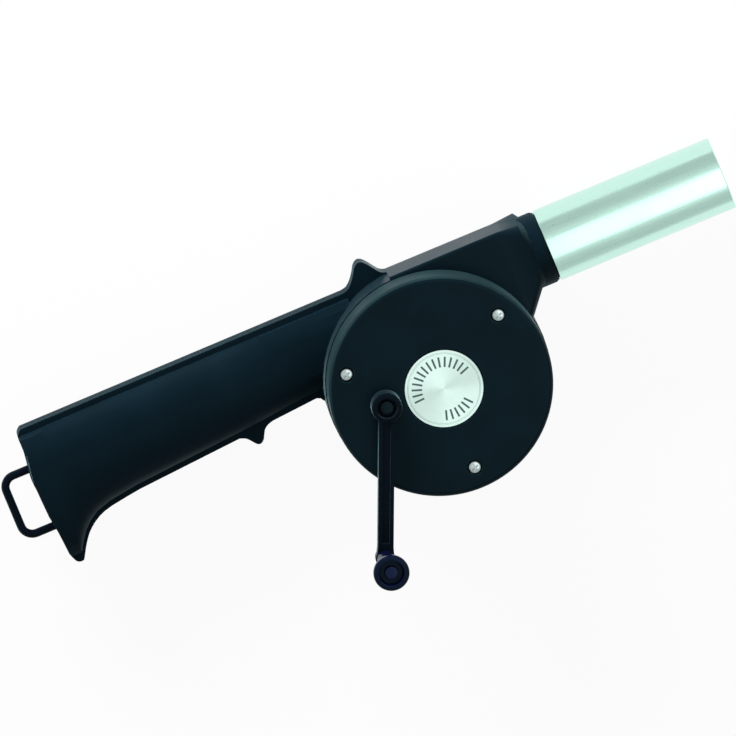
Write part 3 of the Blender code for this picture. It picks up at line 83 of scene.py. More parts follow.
# Metres, unless a name says otherwise
FIT = 0.0003                       # clearance between a piece and its seat
SCREW_TIP = 0.0016                 # length of a screw's point
SCREW_CROWN = 0.0006               # height of the dome on a screw's head
CROSS_ANGLES = (20.0, 110.0)       # degrees, of the two slots in a screw's head
CROSS_DEPTH = 0.0009
BEAD = 0.00012                     # height of the pressed ring on the disc
INK = 0.00002                      # thickness of the printed marks
KNOB_LIP = 0.0005                  # rounding of the knob's recess and foot
WELL_LEAD = 0.0002                 # lead-in at the mouth of a screw well
SMALL_ROUND_STEPS = 48             # facets of wells and screws
RING_SIDES = 20                    # facets round the hanging ring's wire
BEND_STEPS = 12                    # facets of each bend of the hanging ring
FLANK_STEPS = 24                   # steps along the knob's flank
PAPER_GLOW = 0.93                  # share of white that the camera and gloss see in the floor
DULLER_ENDS = 0.32                 # extra roughness of the grip and the nozzle's end
KEY_SPOT = (-0.10, 1.20, 0.30)
KEY_EXTENT = (0.9, 0.5)
PANEL_SPOT = (0.24, 0.0, 0.50)
PANEL_EXTENT = (0.36, 0.56)
PICTURE_CENTRE = Vector((-0.0230, 0.0179, 0.0470))
UPRIGHT_TO_X = Matrix.Rotation(math.radians(90.0), 4, "Y")


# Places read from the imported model

def span(node, axis):
    """Lowest and highest value of a node along one axis."""
    low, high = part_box(node)
    return low[axis], high[axis]


def middle(node):
    """Centre of a node's box."""
    low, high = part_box(node)
    return (low + high) / 2


def radius_of(node, axis=0):
    """Half the width of a node's box along one axis."""
    low, high = span(node, axis)
    return (high - low) / 2


# Sizes and colours that a user would change

def size(name, description, default):
    """A length property, in metres."""
    return FloatProperty(name=name, description=description, default=default, min=0.0, unit="LENGTH",
                         precision=5)


def share(name, description, default):
    """A property between 0 and 1."""
    return FloatProperty(name=name, description=description, default=default, min=0.0, max=1.0,
                         subtype="FACTOR")


def colour(name, description, default):
    """A colour property."""
    return FloatVectorProperty(name=name, description=description, default=default, size=3, min=0.0,
                               max=1.0, subtype="COLOR")


class BlowerSizes(bpy.types.PropertyGroup):
    round_steps: IntProperty(name="Round steps", description="Facets of a turned piece", default=128,
                             min=24, max=256)
    cover_edge_round: size("Cover edge", "Rounding of the gear cover's face edge", 0.0021)
    cover_wall: size("Cover wall", "Wall of the gear cover", 0.0020)
    screw_well: size("Screw well", "Radius of the wells for the cover screws", 0.0029)
    screw_well_depth: size("Well depth", "Depth of the wells for the cover screws", 0.0015)
    label_seat_depth: size("Disc seat", "Depth of the seat for the metal disc", 0.0005)
    label_ring_radius: size("Disc ring", "Radius of the pressed ring near the disc's edge", 0.0138)
    tick_radius: size("Tick radius", "Radius of the ring of tick marks on the disc", 0.0104)
    tick_length: size("Tick length", "Length of a tick mark", 0.0040)
    tick_width: size("Tick width", "Width of a tick mark", 0.00075)
    tube_wall: size("Tube wall", "Wall of the blow tube", 0.0010)
    ring_corner: size("Ring corner", "Bend of the hanging ring's outer corners", 0.0046)
    ring_hidden_corner: size("Hidden corner", "Bend of its corners inside the grip", 0.0030)
    screw_head: size("Screw head", "Height of a screw's head", 0.0017)
    screw_shank: size("Screw shank", "Radius of a screw's shank", 0.0013)
    knob_neck: size("Knob neck", "Radius of the knob where it is slimmest", 0.0030)
    knob_base: size("Knob base", "Radius of the knob's foot on the arm", 0.0034)
    knob_edge: size("Knob edge", "Rounding of the knob's head", 0.0014)
    knob_recess: size("Knob recess", "Radius of the recess in the knob's face", 0.0047)
    knob_recess_depth: size("Recess depth", "Depth of the recess in the knob's face", 0.0030)
    edge_softness: size("Edge softness", "Rounding that the light shows on moulded edges", 0.00045)


class BlowerColours(bpy.types.PropertyGroup):
    black_plastic: colour("Black plastic", "Moulded housing and crank", (0.0020, 0.0070, 0.0115))
    # Lighter than the black plastic: a painted highlight on the gear cover's flank, on top of its duller
    # gloss
    skirt_painted_highlight: colour("Skirt painted highlight", "Duller flank of the gear cover", (0.0090, 0.0220, 0.0255))
    plastic_cast: colour("Plastic cast", "Cast of what the plastic reflects", (0.50, 0.92, 1.0))
    arm_plastic: colour("Arm plastic", "Moulded crank arm and hanging ring", (0.0012, 0.0022, 0.0055))
    gloss_plastic: colour("Knob plastic", "Polished knob", (0.0015, 0.0030, 0.0150))
    tube_metal: colour("Tube metal", "Bright metal of the blow tube", (0.62, 0.93, 0.82))
    steel: colour("Steel", "Plated screws and shafts", (0.52, 0.62, 0.61))
    blued_steel: colour("Blued steel", "Rivet of the knob", (0.012, 0.018, 0.050))
    dark_steel: colour("Dark steel", "Screw of the crank", (0.006, 0.014, 0.017))
    disc_metal: colour("Disc metal", "Metal disc on the cover", (0.70, 0.90, 0.83))
    tick_ink: colour("Tick ink", "Print of the tick marks", (0.05, 0.09, 0.09))
    brass: colour("Brass", "Bushes and the small pinion", (0.62, 0.43, 0.17))
    grey_plastic: colour("Grey plastic", "Impeller", (0.15, 0.16, 0.16))
    white_plastic: colour("White plastic", "Gears", (0.74, 0.73, 0.68))
    floor: colour("Floor", "Studio floor and backdrop", (0.90, 0.90, 0.90))


class BlowerStudio(bpy.types.PropertyGroup):
    picture_width: size("Picture width", "Width that the picture shows at the blower", 0.2797)
    camera_distance: size("Camera distance", "From the camera to the blower", 12.0)
    camera_tilt: FloatProperty(name="Camera tilt", description="Tilt of the view from straight above",
                               default=math.radians(13.3), subtype="ANGLE")
    camera_roll: FloatProperty(name="Camera roll", description="Turn of the picture about the view",
                               default=math.radians(22.6), subtype="ANGLE")
    key_power: FloatProperty(name="Key light", description="Power of the key light", default=35.0,
                             min=0.0, unit="POWER")
    overhead_power: FloatProperty(name="Overhead light", description="Power of the overhead panel",
                                  default=0.55, min=0.0, unit="POWER")
    surroundings: share("Surroundings", "Brightness of the studio round the blower", 0.35)


def sizes():
    return bpy.context.scene.blower_sizes


def colours():
    return bpy.context.scene.blower_colours


def studio():
    return bpy.context.scene.blower_studio


# Shader building

class Shader:
    """A material's node tree with short calls for the nodes that the finishes share."""

    def __init__(self, name):
        self.material = bpy.data.materials.new(name)
        self.material.use_nodes = True
        self.nodes = self.material.node_tree.nodes
        self.links = self.material.node_tree.links
        self.surface = self.nodes["Principled BSDF"]
        self.place = self.nodes.new("ShaderNodeTexCoord").outputs["Object"]

    def add(self, kind, settings=(), **inputs):
        node = self.nodes.new(kind)
        for name, value in dict(settings).items():
            setattr(node, name, value)
        for name, value in inputs.items():
            self.feed(node.inputs[name.replace("_", " ")], value)
        return node

    def feed(self, socket, value):
        if isinstance(value, bpy.types.NodeSocket):
            self.links.new(value, socket)
        else:
            socket.default_value = value

    def stretched(self, x, y, z):
        """The piece's own coordinates, scaled differently along each axis."""
        mapping = self.add("ShaderNodeMapping", Vector=self.place)
        mapping.inputs["Scale"].default_value = (x, y, z)
        return mapping.outputs["Vector"]

    def noise(self, scale, detail=3.0, roughness=0.55, vector=None):
        return self.add("ShaderNodeTexNoise", Vector=vector or self.place, Scale=scale, Detail=detail,
                        Roughness=roughness).outputs["Fac"]

    def limit(self, value, low, high, to_low=0.0, to_high=1.0):
        """Map a value's range onto another, clamped."""
        node = self.add("ShaderNodeMapRange", Value=value)
        for name, number in (("From Min", low), ("From Max", high), ("To Min", to_low),
                             ("To Max", to_high)):
            node.inputs[name].default_value = number
        return node.outputs["Result"]

    def maths(self, operation, first, second):
        node = self.add("ShaderNodeMath", {"operation": operation})
        self.feed(node.inputs[0], first)
        self.feed(node.inputs[1], second)
        return node.outputs["Value"]

    def blend(self, factor, first, second):
        """Mix two colours."""
        node = self.add("ShaderNodeMix", {"data_type": "RGBA"})
        self.feed(node.inputs[0], factor)
        self.feed(node.inputs[6], first)
        self.feed(node.inputs[7], second)
        return node.outputs[2]

    def bump(self, height, distance, strength=1.0, normal=None):
        node = self.add("ShaderNodeBump", Height=height, Distance=distance, Strength=strength)
        if normal is not None:
            self.feed(node.inputs["Normal"], normal)
        return node.outputs["Normal"]

    def soft_edge(self, radius):
        """Normals that round the sharp edges for the light."""
        return self.add("ShaderNodeBevel", {"samples": 6}, Radius=radius).outputs["Normal"]

    def edge_wear(self, radius):
        """1 on worn outer edges, 0 elsewhere."""
        soft = self.soft_edge(radius)
        plain = self.add("ShaderNodeNewGeometry").outputs["Normal"]
        facing = self.add("ShaderNodeVectorMath", {"operation": "DOT_PRODUCT"})
        self.feed(facing.inputs[0], soft)
        self.feed(facing.inputs[1], plain)
        return self.limit(facing.outputs["Value"], 0.995, 0.90)


def shade(value):
    """A colour for a socket, from a property."""
    return (*value, 1.0)


def tinted(value, factor):
    """A colour for a socket, made brighter or darker."""
    return tuple(min(part * factor, 1.0) for part in value) + (1.0,)


def moulded(name, base, roughness, grain=1.0, specular=0.12, sheen=0.0, smoothest=None):
    """Injection-moulded plastic: fine spark-eroded grain, cloudy gloss and edges rubbed smooth.

    Where smoothest gives a range along X, the moulding is duller beyond both ends of it.
    """
    made = Shader(name)
    radius = sizes().edge_softness
    worn = made.edge_wear(radius * 2)
    scuffs = made.noise(900.0, 4.0, 0.7, made.stretched(1.0, 0.25, 1.0))
    rubbed = made.maths("MULTIPLY", worn, made.limit(scuffs, 0.42, 0.62))
    cloud = made.noise(45.0, 3.0)
    tone = made.blend(made.limit(cloud, 0.35, 0.65), tinted(base, 0.85), tinted(base, 1.15))
    made.feed(made.surface.inputs["Base Color"], made.blend(rubbed, tone, tinted(base, 2.6)))
    gloss = made.limit(cloud, 0.3, 0.7, roughness - 0.05, roughness + 0.06)
    polish = made.limit(scuffs, 0.50, 0.72, 0.0, 0.05)
    gloss = made.maths("SUBTRACT", made.maths("ADD", gloss, polish), made.maths("MULTIPLY", rubbed, 0.10))
    if smoothest is not None:
        start, end = smoothest
        along = made.add("ShaderNodeSeparateXYZ", Vector=made.place).outputs["X"]
        held = made.limit(along, start - 0.012, start, DULLER_ENDS, 0.0)
        mouth = made.limit(along, end, end + 0.008, 0.0, DULLER_ENDS)
        gloss = made.maths("ADD", made.maths("ADD", gloss, held), mouth)
    made.feed(made.surface.inputs["Roughness"], gloss)
    grains = made.noise(2600.0, 2.0)
    pits = made.noise(7000.0, 1.0)
    height = made.maths("ADD", grains, made.maths("MULTIPLY", pits, 0.5))
    made.feed(made.surface.inputs["Normal"],
              made.bump(height, 0.000016 * grain, 1.0, made.soft_edge(radius)))
    made.surface.inputs["Specular IOR Level"].default_value = specular
    made.surface.inputs["Specular Tint"].default_value = shade(colours().plastic_cast)
    made.surface.inputs["Sheen Weight"].default_value = sheen
    made.surface.inputs["Sheen Roughness"].default_value = 0.35
    made.surface.inputs["Sheen Tint"].default_value = shade(colours().plastic_cast)
    return made.material


def drawn_metal(name, base, roughness, along, depth=1.0):
    """Metal with fine drawing lines along one axis, faint smears and a few specks."""
    made = Shader(name)
    fine = [1.0 if axis == along else 40.0 for axis in range(3)]
    lines = made.noise(60.0, 4.0, 0.6, made.stretched(*fine))
    smears = made.noise(38.0, 3.0, 0.6, made.stretched(0.5, 1.0, 1.0))
    specks = made.limit(made.noise(1500.0, 1.0), 0.70, 0.76)
    tone = made.blend(made.limit(lines, 0.3, 0.7), tinted(base, 0.95), tinted(base, 1.04))
    made.feed(made.surface.inputs["Base Color"], made.blend(specks, tone, tinted(base, 0.72)))
    gloss = made.limit(smears, 0.35, 0.70, roughness - 0.04, roughness + 0.08)
    scored = made.limit(lines, 0.4, 0.7, 0.0, 0.05)
    made.feed(made.surface.inputs["Roughness"], made.maths("ADD", gloss, scored))
    made.feed(made.surface.inputs["Normal"], made.bump(lines, 0.000004 * depth))
    made.surface.inputs["Metallic"].default_value = 1.0
    return made.material


def turned_metal(name, base, roughness, scale=1.0):
    """Bright turned or plated metal with a fine mottled finish and dull spots."""
    made = Shader(name)
    mottle = made.noise(1400.0 * scale, 3.0)
    stains = made.noise(170.0 * scale, 3.0, 0.6)
    made.feed(made.surface.inputs["Base Color"],
              made.blend(made.limit(stains, 0.45, 0.72), shade(base), tinted(base, 0.72)))
    made.feed(made.surface.inputs["Roughness"],
              made.limit(mottle, 0.3, 0.7, roughness - 0.05, roughness + 0.10))
    made.feed(made.surface.inputs["Normal"], made.bump(mottle, 0.000006, 1.0, made.soft_edge(0.0002)))
    made.surface.inputs["Metallic"].default_value = 1.0
    return made.material


def spun_disc(name, base, centre):
    """Satin metal spun about its centre: rings of fine lines and a soft cloud of dulling."""
    made = Shader(name)
    moved = made.add("ShaderNodeVectorMath", {"operation": "SUBTRACT"})
    made.feed(moved.inputs[0], made.place)
    moved.inputs[1].default_value = centre
    reach = made.add("ShaderNodeVectorMath", {"operation": "LENGTH"})
    made.feed(reach.inputs[0], moved.outputs["Vector"])
    outward = made.add("ShaderNodeCombineXYZ", X=reach.outputs["Value"])
    rings = made.noise(9000.0, 3.0, 0.7, outward.outputs["Vector"])
    cloud = made.noise(110.0, 3.0)
    made.feed(made.surface.inputs["Base Color"],
              made.blend(made.limit(cloud, 0.35, 0.70), shade(base), tinted(base, 0.94)))
    made.feed(made.surface.inputs["Roughness"], made.limit(rings, 0.3, 0.7, 0.26, 0.36))
    made.feed(made.surface.inputs["Normal"], made.bump(rings, 0.000005))
    made.surface.inputs["Metallic"].default_value = 1.0
    made.surface.inputs["Anisotropic"].default_value = 0.9
    round_axis = made.add("ShaderNodeTangent", {"direction_type": "RADIAL", "axis": "Z"})
    made.feed(made.surface.inputs["Tangent"], round_axis.outputs["Tangent"])
    return made.material


def printed_ink(name, base):
    """Matt print with paler patches."""
    made = Shader(name)
    patches = made.noise(2500.0, 2.0)
    made.feed(made.surface.inputs["Base Color"],
              made.blend(made.limit(patches, 0.45, 0.75), shade(base), tinted(base, 2.0)))
    made.feed(made.surface.inputs["Roughness"], made.limit(patches, 0.3, 0.7, 0.5, 0.7))
    return made.material


_made = {}


def finish(kind):
    """A finish by name, made when it is first asked for."""
    if kind not in _made:
        tone = colours()
        west, east = span("gear_cover", 0)
        deck = (west + 0.036, east)
        makers = {
            "black_plastic": lambda: moulded("moulded_black", tone.black_plastic, 0.32,
                                             specular=0.07, sheen=0.14),
            "housing_plastic": lambda: moulded("moulded_housing", tone.black_plastic, 0.32,
                                               specular=0.07, sheen=0.14, smoothest=deck),
            # The cover's flank: its lighter colour is a painted highlight, and its higher roughness is its
            # duller gloss
            "skirt_painted_highlight": lambda: moulded("moulded_skirt", tone.skirt_painted_highlight, 0.50,
                                             specular=0.05, sheen=0.05),
            "arm_plastic": lambda: moulded("moulded_arm", tone.arm_plastic, 0.42,
                                           specular=0.06, sheen=0.20),
            "gloss_plastic": lambda: moulded("polished_black", tone.gloss_plastic, 0.20, grain=0.15),
            "grey_plastic": lambda: moulded("moulded_grey", tone.grey_plastic, 0.48),
            "white_plastic": lambda: moulded("natural_acetal", tone.white_plastic, 0.40, grain=0.5,
                                             specular=0.45),
            "tube_metal": lambda: drawn_metal("drawn_tube", tone.tube_metal, 0.20, 0),
            "shaft_steel": lambda: drawn_metal("ground_shaft", tone.steel, 0.22, 2),
            "steel": lambda: turned_metal("plated_steel", tone.steel, 0.24),
            "blued_steel": lambda: turned_metal("blued_steel", tone.blued_steel, 0.30),
            "dark_steel": lambda: turned_metal("blackened_steel", tone.dark_steel, 0.36),
            "brass": lambda: turned_metal("turned_brass", tone.brass, 0.28),
            "disc_metal": lambda: spun_disc("spun_disc", tone.disc_metal, middle("centre_label")),
            "tick_ink": lambda: printed_ink("tick_ink", tone.tick_ink),
        }
        _made[kind] = makers[kind]()
    return _made[kind]


# Mesh building

def arc(centre_r, centre_z, radius, start, end, steps=6):
    """Points of an arc in a turned profile, angles in degrees."""
    points = []
    for step in range(steps + 1):
        angle = math.radians(start + (end - start) * step / steps)
        points.append((centre_r + radius * math.cos(angle), centre_z + radius * math.sin(angle)))
    return points


def turned(name, profile, steps=None, closed=False):
    """A piece swept about its own upright axis from (radius, height) points."""
    steps = steps or sizes().round_steps
    bm = bmesh.new()
    rings = []
    for radius, height in profile:
        if radius < 1e-7:
            rings.append([bm.verts.new((0.0, 0.0, height))])
            continue
        ring = []
        for step in range(steps):
            angle = 2 * math.pi * step / steps
            ring.append(bm.verts.new((radius * math.cos(angle), radius * math.sin(angle), height)))
        rings.append(ring)
    pairs = list(zip(rings, rings[1:]))
    if closed:
        pairs.append((rings[-1], rings[0]))
    for ring, following in pairs:
        for step in range(steps):
            after = (step + 1) % steps
            if len(ring) == 1:
                corners = (ring[0], following[step], following[after])
            elif len(following) == 1:
                corners = (ring[step], following[0], ring[after])
            else:
                corners = (ring[step], following[step], following[after], ring[after])
            bm.faces.new(corners)
    return from_bmesh(name, bm)


def from_bmesh(name, bm, location=(0.0, 0.0, 0.0)):
    bmesh.ops.recalc_face_normals(bm, faces=bm.faces)
    mesh = bpy.data.meshes.new(name)
    bm.to_mesh(mesh)
    bm.free()
    thing = bpy.data.objects.new(name, mesh)
    thing.location = location
    bpy.context.scene.collection.objects.link(thing)
    return thing


def raised(name, outline, low, high):
    """A flat outline raised from low to high."""
    bm = bmesh.new()
    corners = [bm.verts.new((x, y, low)) for x, y in outline]
    face = bm.faces.new(corners)
    lifted = bmesh.ops.extrude_face_region(bm, geom=[face])
    moved = [part for part in lifted["geom"] if isinstance(part, bmesh.types.BMVert)]
    bmesh.ops.translate(bm, verts=moved, vec=(0.0, 0.0, high - low))
    return from_bmesh(name, bm)


def combine(thing, other, operation):
    """Join, cut or trim a piece with another, which is used up."""
    step = thing.modifiers.new(other.name, "BOOLEAN")
    step.solver = "EXACT"
    step.operation = operation
    step.object = other
    bake(thing)
    bpy.data.objects.remove(other, do_unlink=True)
    return thing


def bake(thing):
    """Give a piece the mesh that its modifiers make."""
    graph = bpy.context.evaluated_depsgraph_get()
    shaped = bpy.data.meshes.new_from_object(thing.evaluated_get(graph))
    thing.modifiers.clear()
    thing.data = shaped
    return thing


def ease(thing, width, angle=40.0, segments=3):
    """Round the sharp edges of a piece."""
    step = thing.modifiers.new("ease", "BEVEL")
    step.width = width
    step.segments = segments
    step.limit_method = "ANGLE"
    step.angle_limit = math.radians(angle)
    return bake(thing)


def smooth(thing, angle=38.0):
    """Shade a piece smooth, except across sharp edges, with even normals on its flat faces."""
    thing.data.shade_smooth()
    thing.data.set_sharp_from_angle(angle=math.radians(angle))
    step = thing.modifiers.new("even_normals", "WEIGHTED_NORMAL")
    step.keep_sharp = True
    return thing


def place(thing, name, body, kind, nodes=(), at=None):
    """Name a finished piece, give it its finish and let it ride on its body."""
    if at is not None:
        thing.location = at
    thing.name = name
    thing.data.name = name
    thing.data.materials.clear()
    thing.data.materials.append(finish(kind))
    smooth(thing)
    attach(thing, body)
    if nodes:
        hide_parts(*nodes)
    return thing


def dress(node, kind):
    """Give a CAD node a finish and smooth shading with even normals."""
    thing = NODES[node]
    thing.data.materials.clear()
    thing.data.materials.append(finish(kind))
    weld = thing.modifiers.new("weld", "WELD")
    weld.merge_threshold = 0.000002
    shading = thing.modifiers.new("smooth_by_angle", "NODES")
    shading.node_group = smoothing_group()
    even = thing.modifiers.new("even_normals", "WEIGHTED_NORMAL")
    even.keep_sharp = True
    return thing


def smoothing_group(angle=32.0):
    """Geometry nodes that shade smooth, except across edges sharper than an angle."""
    name = "smooth_by_angle"
    if name in bpy.data.node_groups:
        return bpy.data.node_groups[name]
    group = bpy.data.node_groups.new(name, "GeometryNodeTree")
    group.interface.new_socket("Geometry", in_out="INPUT", socket_type="NodeSocketGeometry")
    group.interface.new_socket("Geometry", in_out="OUTPUT", socket_type="NodeSocketGeometry")
    start = group.nodes.new("NodeGroupInput")
    end = group.nodes.new("NodeGroupOutput")
    faces = group.nodes.new("GeometryNodeSetShadeSmooth")
    faces.domain = "FACE"
    faces.inputs["Shade Smooth"].default_value = True
    edges = group.nodes.new("GeometryNodeSetShadeSmooth")
    edges.domain = "EDGE"
    edges.inputs["Shade Smooth"].default_value = False
    bend = group.nodes.new("GeometryNodeInputMeshEdgeAngle")
    sharp = group.nodes.new("FunctionNodeCompare")
    sharp.data_type = "FLOAT"
    sharp.operation = "GREATER_THAN"
    sharp.inputs[1].default_value = math.radians(angle)
    group.links.new(bend.outputs["Unsigned Angle"], sharp.inputs[0])
    group.links.new(start.outputs[0], faces.inputs["Geometry"])
    group.links.new(faces.outputs["Geometry"], edges.inputs["Geometry"])
    group.links.new(sharp.outputs["Result"], edges.inputs["Selection"])
    group.links.new(edges.outputs["Geometry"], end.inputs[0])
    return group


# Operators, one for each piece or group of like pieces

class BLOWER_OT_housing(bpy.types.Operator):
    """Dress the two moulded halves of the housing"""

    bl_idname = "blower.housing"
    bl_label = "Housing halves"

    def execute(self, context):
        for node in ("front_shell", "rear_shell"):
            dress(node, "housing_plastic")
        return {"FINISHED"}


class BLOWER_OT_gear_cover(bpy.types.Operator):
    """Build the round gear cover with its screw wells and the seat of the metal disc"""

    bl_idname = "blower.gear_cover"
    bl_label = "Gear cover"

    def execute(self, context):
        width = sizes()
        low, top = span("gear_cover", 2)
        radius = radius_of("gear_cover")
        rounding = width.cover_edge_round
        inner = radius - width.cover_wall
        profile = [(0.0, top), *arc(radius - rounding, top - rounding, rounding, 90.0, 0.0, 10),
                   (radius, low), (inner, low), (inner, top - width.cover_wall),
                   (0.0, top - width.cover_wall)]
        cover = turned("gear_cover_cup", profile)
        for node in COVER_SCREWS:
            hole = well(middle(node), width.screw_well, top - width.screw_well_depth, top)
            cover = combine(cover, hole, "DIFFERENCE")
        reach = radius_of("centre_label") + FIT
        above, floor = top + width.cover_wall, top - width.label_seat_depth
        seat = turned("disc_seat", [(0.0, above), (reach, above), (reach, floor), (0.0, floor)])
        spot = middle("centre_label")
        seat.location = (spot.x, spot.y, 0.0)
        cover = combine(cover, seat, "DIFFERENCE")
        bush = well(JOINTS["crank_spin"], radius_of("crank_bush_rear") + FIT, low, top)
        cover = combine(cover, bush, "DIFFERENCE")
        place(cover, "gear_cover_cup", "housing", "black_plastic", ["gear_cover"])
        # The cover's side faces get the lighter finish, a painted highlight round the flank
        cover.data.materials.append(finish("skirt_painted_highlight"))
        for face in cover.data.polygons:
            if abs(face.normal.z) < 0.8 and face.center.xy.length > radius - rounding:
                face.material_index = 1
        return {"FINISHED"}


def well(spot, radius, floor, top):
    """Cutter for a round well with a small lead-in at its mouth."""
    over = 0.001
    mouth = radius + WELL_LEAD
    profile = [(0.0, top + over), (mouth + over, top + over), (mouth, top),
               (radius, top - WELL_LEAD), (radius, floor), (0.0, floor)]
    thing = turned("well", profile, SMALL_ROUND_STEPS)
    thing.location = (spot.x, spot.y, 0.0)
    return thing


class BLOWER_OT_metal_disc(bpy.types.Operator):
    """Build the round metal disc with its pressed ring and plain tick marks"""

    bl_idname = "blower.metal_disc"
    bl_label = "Metal disc"

    def execute(self, context):
        width = sizes()
        low, top = span("centre_label", 2)
        radius = radius_of("centre_label")
        ring = width.label_ring_radius
        face = top - BEAD
        profile = [(0.0, face), (ring - 2 * BEAD, face), (ring - BEAD, top), (ring + BEAD, top),
                   (ring + 2 * BEAD, face), (radius - BEAD, face), (radius, face - BEAD),
                   (radius, low), (0.0, low)]
        centre = middle("centre_label")
        spot = (centre.x, centre.y, 0.0)
        disc = turned("metal_disc", profile)
        place(disc, "metal_disc", "housing", "disc_metal", ["centre_label"], spot)
        marks = bmesh.new()
        for angle in tick_angles():
            turn = Matrix.Rotation(math.radians(angle), 4, "Z")
            box = Matrix.Translation((width.tick_radius, 0.0, face + INK / 2))
            shape = Matrix.Diagonal((width.tick_length, width.tick_width, 2 * INK, 1.0))
            bmesh.ops.create_cube(marks, size=1.0, matrix=turn @ box @ shape)
        ticks = from_bmesh("disc_ticks", marks)
        place(ticks, "disc_ticks", "housing", "tick_ink", at=spot)
        return {"FINISHED"}


def tick_angles():
    """Angles of the two arcs of tick marks, a long one and a short one."""
    long_arc = [20.0 + 11.7 * step for step in range(15)]
    short_arc = [-107.0 + 11.6 * step for step in range(6)]
    return long_arc + short_arc


class BLOWER_OT_blow_tube(bpy.types.Operator):
    """Build the bright metal blow tube with its eased mouth"""

    bl_idname = "blower.blow_tube"
    bl_label = "Blow tube"

    def execute(self, context):
        low, high = span("nozzle_tube", 0)
        spot = middle("nozzle_tube")
        outer = radius_of("nozzle_tube", 2)
        inner = outer - sizes().tube_wall
        lip = sizes().tube_wall * 0.4
        profile = [*arc(outer - lip, high - lip, lip, 90.0, 0.0, 4),
                   *arc(outer - lip, low + lip, lip, 0.0, -90.0, 4), (inner, low), (inner, high)]
        tube = turned("blow_tube", profile, closed=True)
        tube.data.transform(UPRIGHT_TO_X)
        place(tube, "blow_tube", "housing", "tube_metal", ["nozzle_tube"],
              (0.0, spot.y, spot.z))
        return {"FINISHED"}


class BLOWER_OT_hanging_ring(bpy.types.Operator):
    """Build the hanging ring in the end of the grip"""

    bl_idname = "blower.hanging_ring"
    bl_label = "Hanging ring"

    def execute(self, context):
        low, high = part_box("hanging_loop")
        wire = (high.z - low.z) / 2
        level = (low.z + high.z) / 2
        west, east = low.x + wire, high.x - wire
        south, north = low.y + wire, high.y - wire
        outer, inner = sizes().ring_corner, sizes().ring_hidden_corner
        corners = ((west + outer, south + outer, outer, 180.0), (east - inner, south + inner, inner, 270.0),
                   (east - inner, north - inner, inner, 0.0), (west + outer, north - outer, outer, 90.0))
        path = []
        for x, y, radius, start in corners:
            for step in range(BEND_STEPS + 1):
                angle = math.radians(start + 90.0 * step / BEND_STEPS)
                path.append((x + radius * math.cos(angle), y + radius * math.sin(angle)))
        ring = rod("hanging_ring", path, level, wire, RING_SIDES)
        place(ring, "hanging_ring", "housing", "arm_plastic", ["hanging_loop"])
        return {"FINISHED"}


def rod(name, path, level, radius, sides):
    """A closed round rod along a flat path."""
    bm = bmesh.new()
    rings = []
    for index, (x, y) in enumerate(path):
        before = Vector(path[index - 1])
        after = Vector(path[(index + 1) % len(path)])
        along = (after - before).normalized()
        outward = Vector((along.y, -along.x, 0.0))
        ring = []
        for side in range(sides):
            angle = 2 * math.pi * side / sides
            offset = outward * (radius * math.cos(angle)) + Vector((0.0, 0.0, radius * math.sin(angle)))
            ring.append(bm.verts.new(Vector((x, y, level)) + offset))
        rings.append(ring)
    for index, ring in enumerate(rings):
        following = rings[(index + 1) % len(rings)]
        for side in range(sides):
            beside = (side + 1) % sides
            bm.faces.new((ring[side], following[side], following[beside], ring[beside]))
    return from_bmesh(name, bm)


class BLOWER_OT_crank_arm(bpy.types.Operator):
    """Dress the crank arm, the screw in its hub and the knob's pin"""

    bl_idname = "blower.crank_arm"
    bl_label = "Crank arm"

    def execute(self, context):
        dress("crank_arm", "arm_plastic")
        dress("crank_screw", "dark_steel")
        dress("knob_pin", "blued_steel")
        return {"FINISHED"}


class BLOWER_OT_crank_knob(bpy.types.Operator):
    """Build the polished knob with the recess in its face"""

    bl_idname = "blower.crank_knob"
    bl_label = "Crank knob"

    def execute(self, context):
        width = sizes()
        low, top = span("crank_knob", 2)
        radius = radius_of("crank_knob")
        edge = width.knob_edge
        flank_low = low + (top - low) * 0.2
        flank_high = top - edge * 1.6
        sides = []
        for step in range(FLANK_STEPS + 1):
            down = step / FLANK_STEPS
            swell = (1 + math.cos(math.pi * down ** 0.8)) / 2
            sides.append((width.knob_neck + (radius - width.knob_neck) * swell,
                          flank_high + (flank_low - flank_high) * down))
        inner = radius_of("knob_pin") * 0.6
        floor = top - width.knob_recess_depth
        recess, foot, lip = width.knob_recess, width.knob_base, KNOB_LIP
        profile = [*arc(recess + lip, top - lip, lip, 180.0, 90.0, 4),
                   *arc(radius - edge, top - edge, edge, 90.0, 0.0, 8), *sides,
                   *arc(foot - lip, low + lip, lip, 0.0, -90.0, 4), (inner, low), (inner, floor),
                   (recess - lip, floor), (recess, floor + lip)]
        spot = JOINTS["knob_spin"]
        knob = turned("crank_knob_grip", profile, closed=True)
        place(knob, "crank_knob_grip", "knob", "gloss_plastic", ["crank_knob"],
              (spot.x, spot.y, 0.0))
        return {"FINISHED"}


